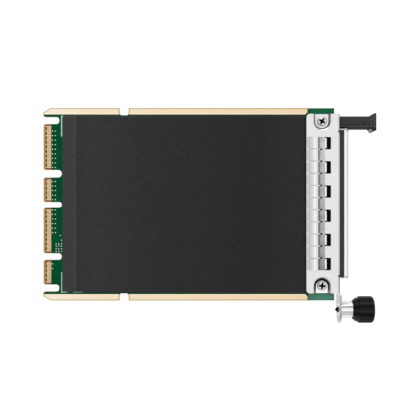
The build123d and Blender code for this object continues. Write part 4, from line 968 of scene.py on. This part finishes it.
class CARD_OT_components(Operator):
    """Finish the small components, add their metal ends and print their outlines."""

    bl_idname = "card.components"
    bl_label = "Components"

    def execute(self, context):
        package = plastic_material("moulded_epoxy_package", "#202022", 0.5, paint=tinned_leads)
        apply_material(package, "voltage_regulators", "flash_memory")
        apply_material(plastic_material("ferrite_inductor", "#3c3b3a", 0.65), "power_inductors")
        tantalum = plastic_material("moulded_tantalum_case", "#2b2723", 0.5, paint=tantalum_bands)
        apply_material(tantalum, "bulk_capacitors")
        apply_material(plastic_material("ceramic_chip", "#a48259", 0.45), "coupling_capacitors")
        apply_material(steel_material("crystal_can", "#c9c4b4", 0.3), "clock_crystal")
        apply_material(plastic_material("package_substrate", "#1e3a2c", 0.45), "controller_chip")
        apply_material(plastic_material("thermal_putty", "#a9a6b8", 0.85), "thermal_pad")
        apply_material(plastic_material("lamp_lens", "#e9e6d0", 0.3, 0.5), "status_leds")

        # metal ends: a plate at each end of a body along X, with a share of its width and height
        skin, top = 0.06, BOARD_LOW[2]
        centres, sizes = [], []
        for node, wide, tall, wrap in (
            ("power_inductors", 0.55, 0.4, 0.0),
            ("bulk_capacitors", 0.56, 0.45, 0.0),
            ("coupling_capacitors", 1.04, 1.0, 0.24),
        ):
            for low, high in bodies(node):
                size = high - low
                for side, x in ((-1, low[0]), (1, high[0])):
                    middle = x - side * wrap / 2 + side * skin / 2
                    centres.append((middle, (low[1] + high[1]) / 2, top - size[2] * tall / 2 - 0.005))
                    sizes.append((wrap + skin, size[1] * wide, size[2] * tall))
        # the regulators have five pads on each side, 0.8 mm apart
        for low, high in bodies("voltage_regulators"):
            middle = (low + high) / 2
            for step in np.arange(-2, 3) * 0.8:
                for reach in ((low[0] - high[0]) / 2, (high[0] - low[0]) / 2):
                    centres.append((middle[0] + reach, middle[1] + step, top - 0.12))
                    centres.append((middle[0] + step, middle[1] + reach, top - 0.12))
                    sizes += [(0.1, 0.4, 0.2), (0.4, 0.1, 0.2)]
        tin = steel_material("matt_tin_plate", "#cfcfca", 0.42)
        new_piece("component_ends", *boxes(centres, sizes), material=tin, slot="bright_steel")

        # printed frames round the footprints
        tones = ((0.4, "#d6e2da"), (0.6, "#e6ece6"))
        ink = speckled_material("printed_footprint_ink", 2.5, tones, roughness=0.6)
        frames = []
        for node in ("power_inductors", "bulk_capacitors", "voltage_regulators", "flash_memory", "clock_crystal"):
            frames += [(low[:2], high[:2]) for low, high in bodies(node)]
        printed = outlines(frames, 0.45, 0.15, top - 0.015, top)
        new_piece("printed_footprints", *printed, material=ink, slot="board_laminate")
        return {"FINISHED"}


class CARD_OT_heatsink(Operator):
    """Finish the heatsink."""

    bl_idname = "card.heatsink"
    bl_label = "Heatsink"

    def execute(self, context):
        apply_material(heatsink_material(), "heatsink")
        return {"FINISHED"}


class CARD_OT_light_pipes(Operator):
    """Finish the clear light pipes."""

    bl_idname = "card.light_pipes"
    bl_label = "Light pipes"

    def execute(self, context):
        apply_material(clear_material(), "light_pipes")
        return {"FINISHED"}


class CARD_OT_stage(Operator):
    """Set up the floor, the lamp, the world and the camera over the solder side."""

    bl_idname = "card.stage"
    bl_label = "Stage"

    def execute(self, context):
        scene = context.scene
        scene.view_settings.view_transform = "Standard"
        reach, level = 3.0, CAD_BOX[0].z - 0.0002
        floor_mesh = bpy.data.meshes.new("floor")
        corners = [(x * reach, y * reach, level) for x, y in ((-1, -1), (1, -1), (1, 1), (-1, 1))]
        floor_mesh.from_pydata(corners, [], [(0, 1, 2, 3)])
        floor = bpy.data.objects.new("floor", floor_mesh)
        scene.collection.objects.link(floor)
        material = bpy.data.materials.new("pale_floor")
        material.use_nodes = True
        tree = material.node_tree
        tree.nodes.remove(tree.nodes["Principled BSDF"])
        # seen and mirrored it is near white, and it lights the card as a pale matt surface does
        rays = ("Is Camera Ray", "Is Glossy Ray", "Is Transmission Ray")
        camera_ray, glossy, through = (add(tree, "LightPath", output=name) for name in rays)
        seen = add(tree, "Math", (camera_ray, ("MAXIMUM", glossy, through)), operation="MAXIMUM")
        paint = add(tree, "BsdfDiffuse", {"Color": "#e8e8e8"})
        faint = add(tree, "BsdfDiffuse", {"Color": "#606060"})
        glow = add(tree, "Emission", {"Color": "#ffffff", "Strength": 0.95})
        pale = add(tree, "AddShader", (faint, glow))
        fill(tree.nodes["Material Output"], {"Surface": add(tree, "MixShader", (seen, paint, pale))})
        floor_mesh.materials.append(material)

        # the studio: white overhead and darker towards the horizon, with dark flags along the card's length
        world = bpy.data.worlds.new("studio")
        scene.world = world
        world.use_nodes = True
        tree = world.node_tree
        x, y, z = add(tree, "SeparateXYZ", [add(tree, "TexCoord", output="Generated")], output=slice(0, 3))
        lights = (0.0, 0.2), (0.39, 0.36), (0.64, 0.66), (0.87, 0.78), (0.966, 1.0), (1.0, 1.0)
        dome = add(tree, "ValToRGB", [z], stops=[(height, (light,) * 3) for height, light in lights])
        # pale walls stand in front of the faceplate and beyond the pull tab, a grey one beyond the thumbscrew
        for value, start, end, light in ((x, 0.45, 0.85, 0.4), (y, 0.76, 0.84, 0.7)):
            wall = add(tree, "MapRange", {0: value, 1: start, 2: end, 4: light})
            dome = add(tree, "VectorMath", (dome, wall), operation="ADD")
        grey = add(tree, "MapRange", {0: y, 1: -0.5, 2: -0.58})
        dome = layered(tree, dome, (grey, "#cfcfcf"))
        for middle, half, share in ((0.7, 0.1, 0.02), (-0.45, 0.04, 0.25)):
            off = ("ABSOLUTE", ("SUBTRACT", y, middle))
            flag = add(tree, "MapRange", {0: off, 1: half, 2: half + 0.05, 3: share, 4: 1.0})
            dome = add(tree, "VectorMath", {0: dome, "Scale": flag}, operation="SCALE")
        seen = add(tree, "LightPath", output="Is Camera Ray")
        fill(tree.nodes["Background"], {"Color": layered(tree, dome, (seen, "#ffffff"))})

        lamp = bpy.data.lights.new("key", "AREA")
        lamp.size, lamp.energy = 0.5, 3.0
        light = bpy.data.objects.new("key", lamp)
        light.location = (0.0, 0.75, 0.5)
        light.rotation_mode = "QUATERNION"
        light.rotation_quaternion = (light.location - Vector((0.066, 0, 0))).to_track_quat("Z", "Y")
        scene.collection.objects.link(light)

        camera = bpy.data.cameras.new("camera")
        # the board's top face is seen at 2.528 pixels to the millimetre in a frame of 416 pixels
        height, pixels_per_mm, frame_pixels = 350.0, 2.528, 416
        camera.sensor_width = 36.0
        camera.lens = pixels_per_mm * camera.sensor_width * (height - BOARD_HIGH[2]) / frame_pixels
        camera.clip_start, camera.clip_end = 0.01, 10.0
        eye = bpy.data.objects.new("camera", camera)
        eye.location = (0.06508, -0.00147, height * MM)
        scene.collection.objects.link(eye)
        scene.camera = eye
        return {"FINISHED"}


OPERATORS = (
    CARD_OT_board,
    CARD_OT_film,
    CARD_OT_bracket,
    CARD_OT_pull_tab,
    CARD_OT_thumbscrew,
    CARD_OT_cage,
    CARD_OT_components,
    CARD_OT_heatsink,
    CARD_OT_light_pipes,
    CARD_OT_stage,
)


class CARD_PT_sidebar(Panel):
    """Lists the card's pieces, sizes and colours."""

    bl_idname = "CARD_PT_sidebar"
    bl_label = "Network card"
    bl_space_type = "VIEW_3D"
    bl_region_type = "UI"
    bl_category = "Card"

    def draw(self, context):
        for group in (context.scene.card_sizes, context.scene.card_colours):
            for name in group.__annotations__:
                self.layout.prop(group, name)
        for operator in OPERATORS:
            self.layout.operator(operator.bl_idname)


CLASSES = (CardSizes, CardColours, *OPERATORS, CARD_PT_sidebar)


def register():
    for each in CLASSES:
        bpy.utils.register_class(each)
    bpy.types.Scene.card_sizes = PointerProperty(type=CardSizes)
    bpy.types.Scene.card_colours = PointerProperty(type=CardColours)


def unregister():
    del bpy.types.Scene.card_colours
    del bpy.types.Scene.card_sizes
    for each in reversed(CLASSES):
        bpy.utils.unregister_class(each)


def main():
    register()
    for operator in OPERATORS:
        getattr(bpy.ops.card, operator.bl_idname.split(".")[1])()


if __name__ == "__main__":
    main()
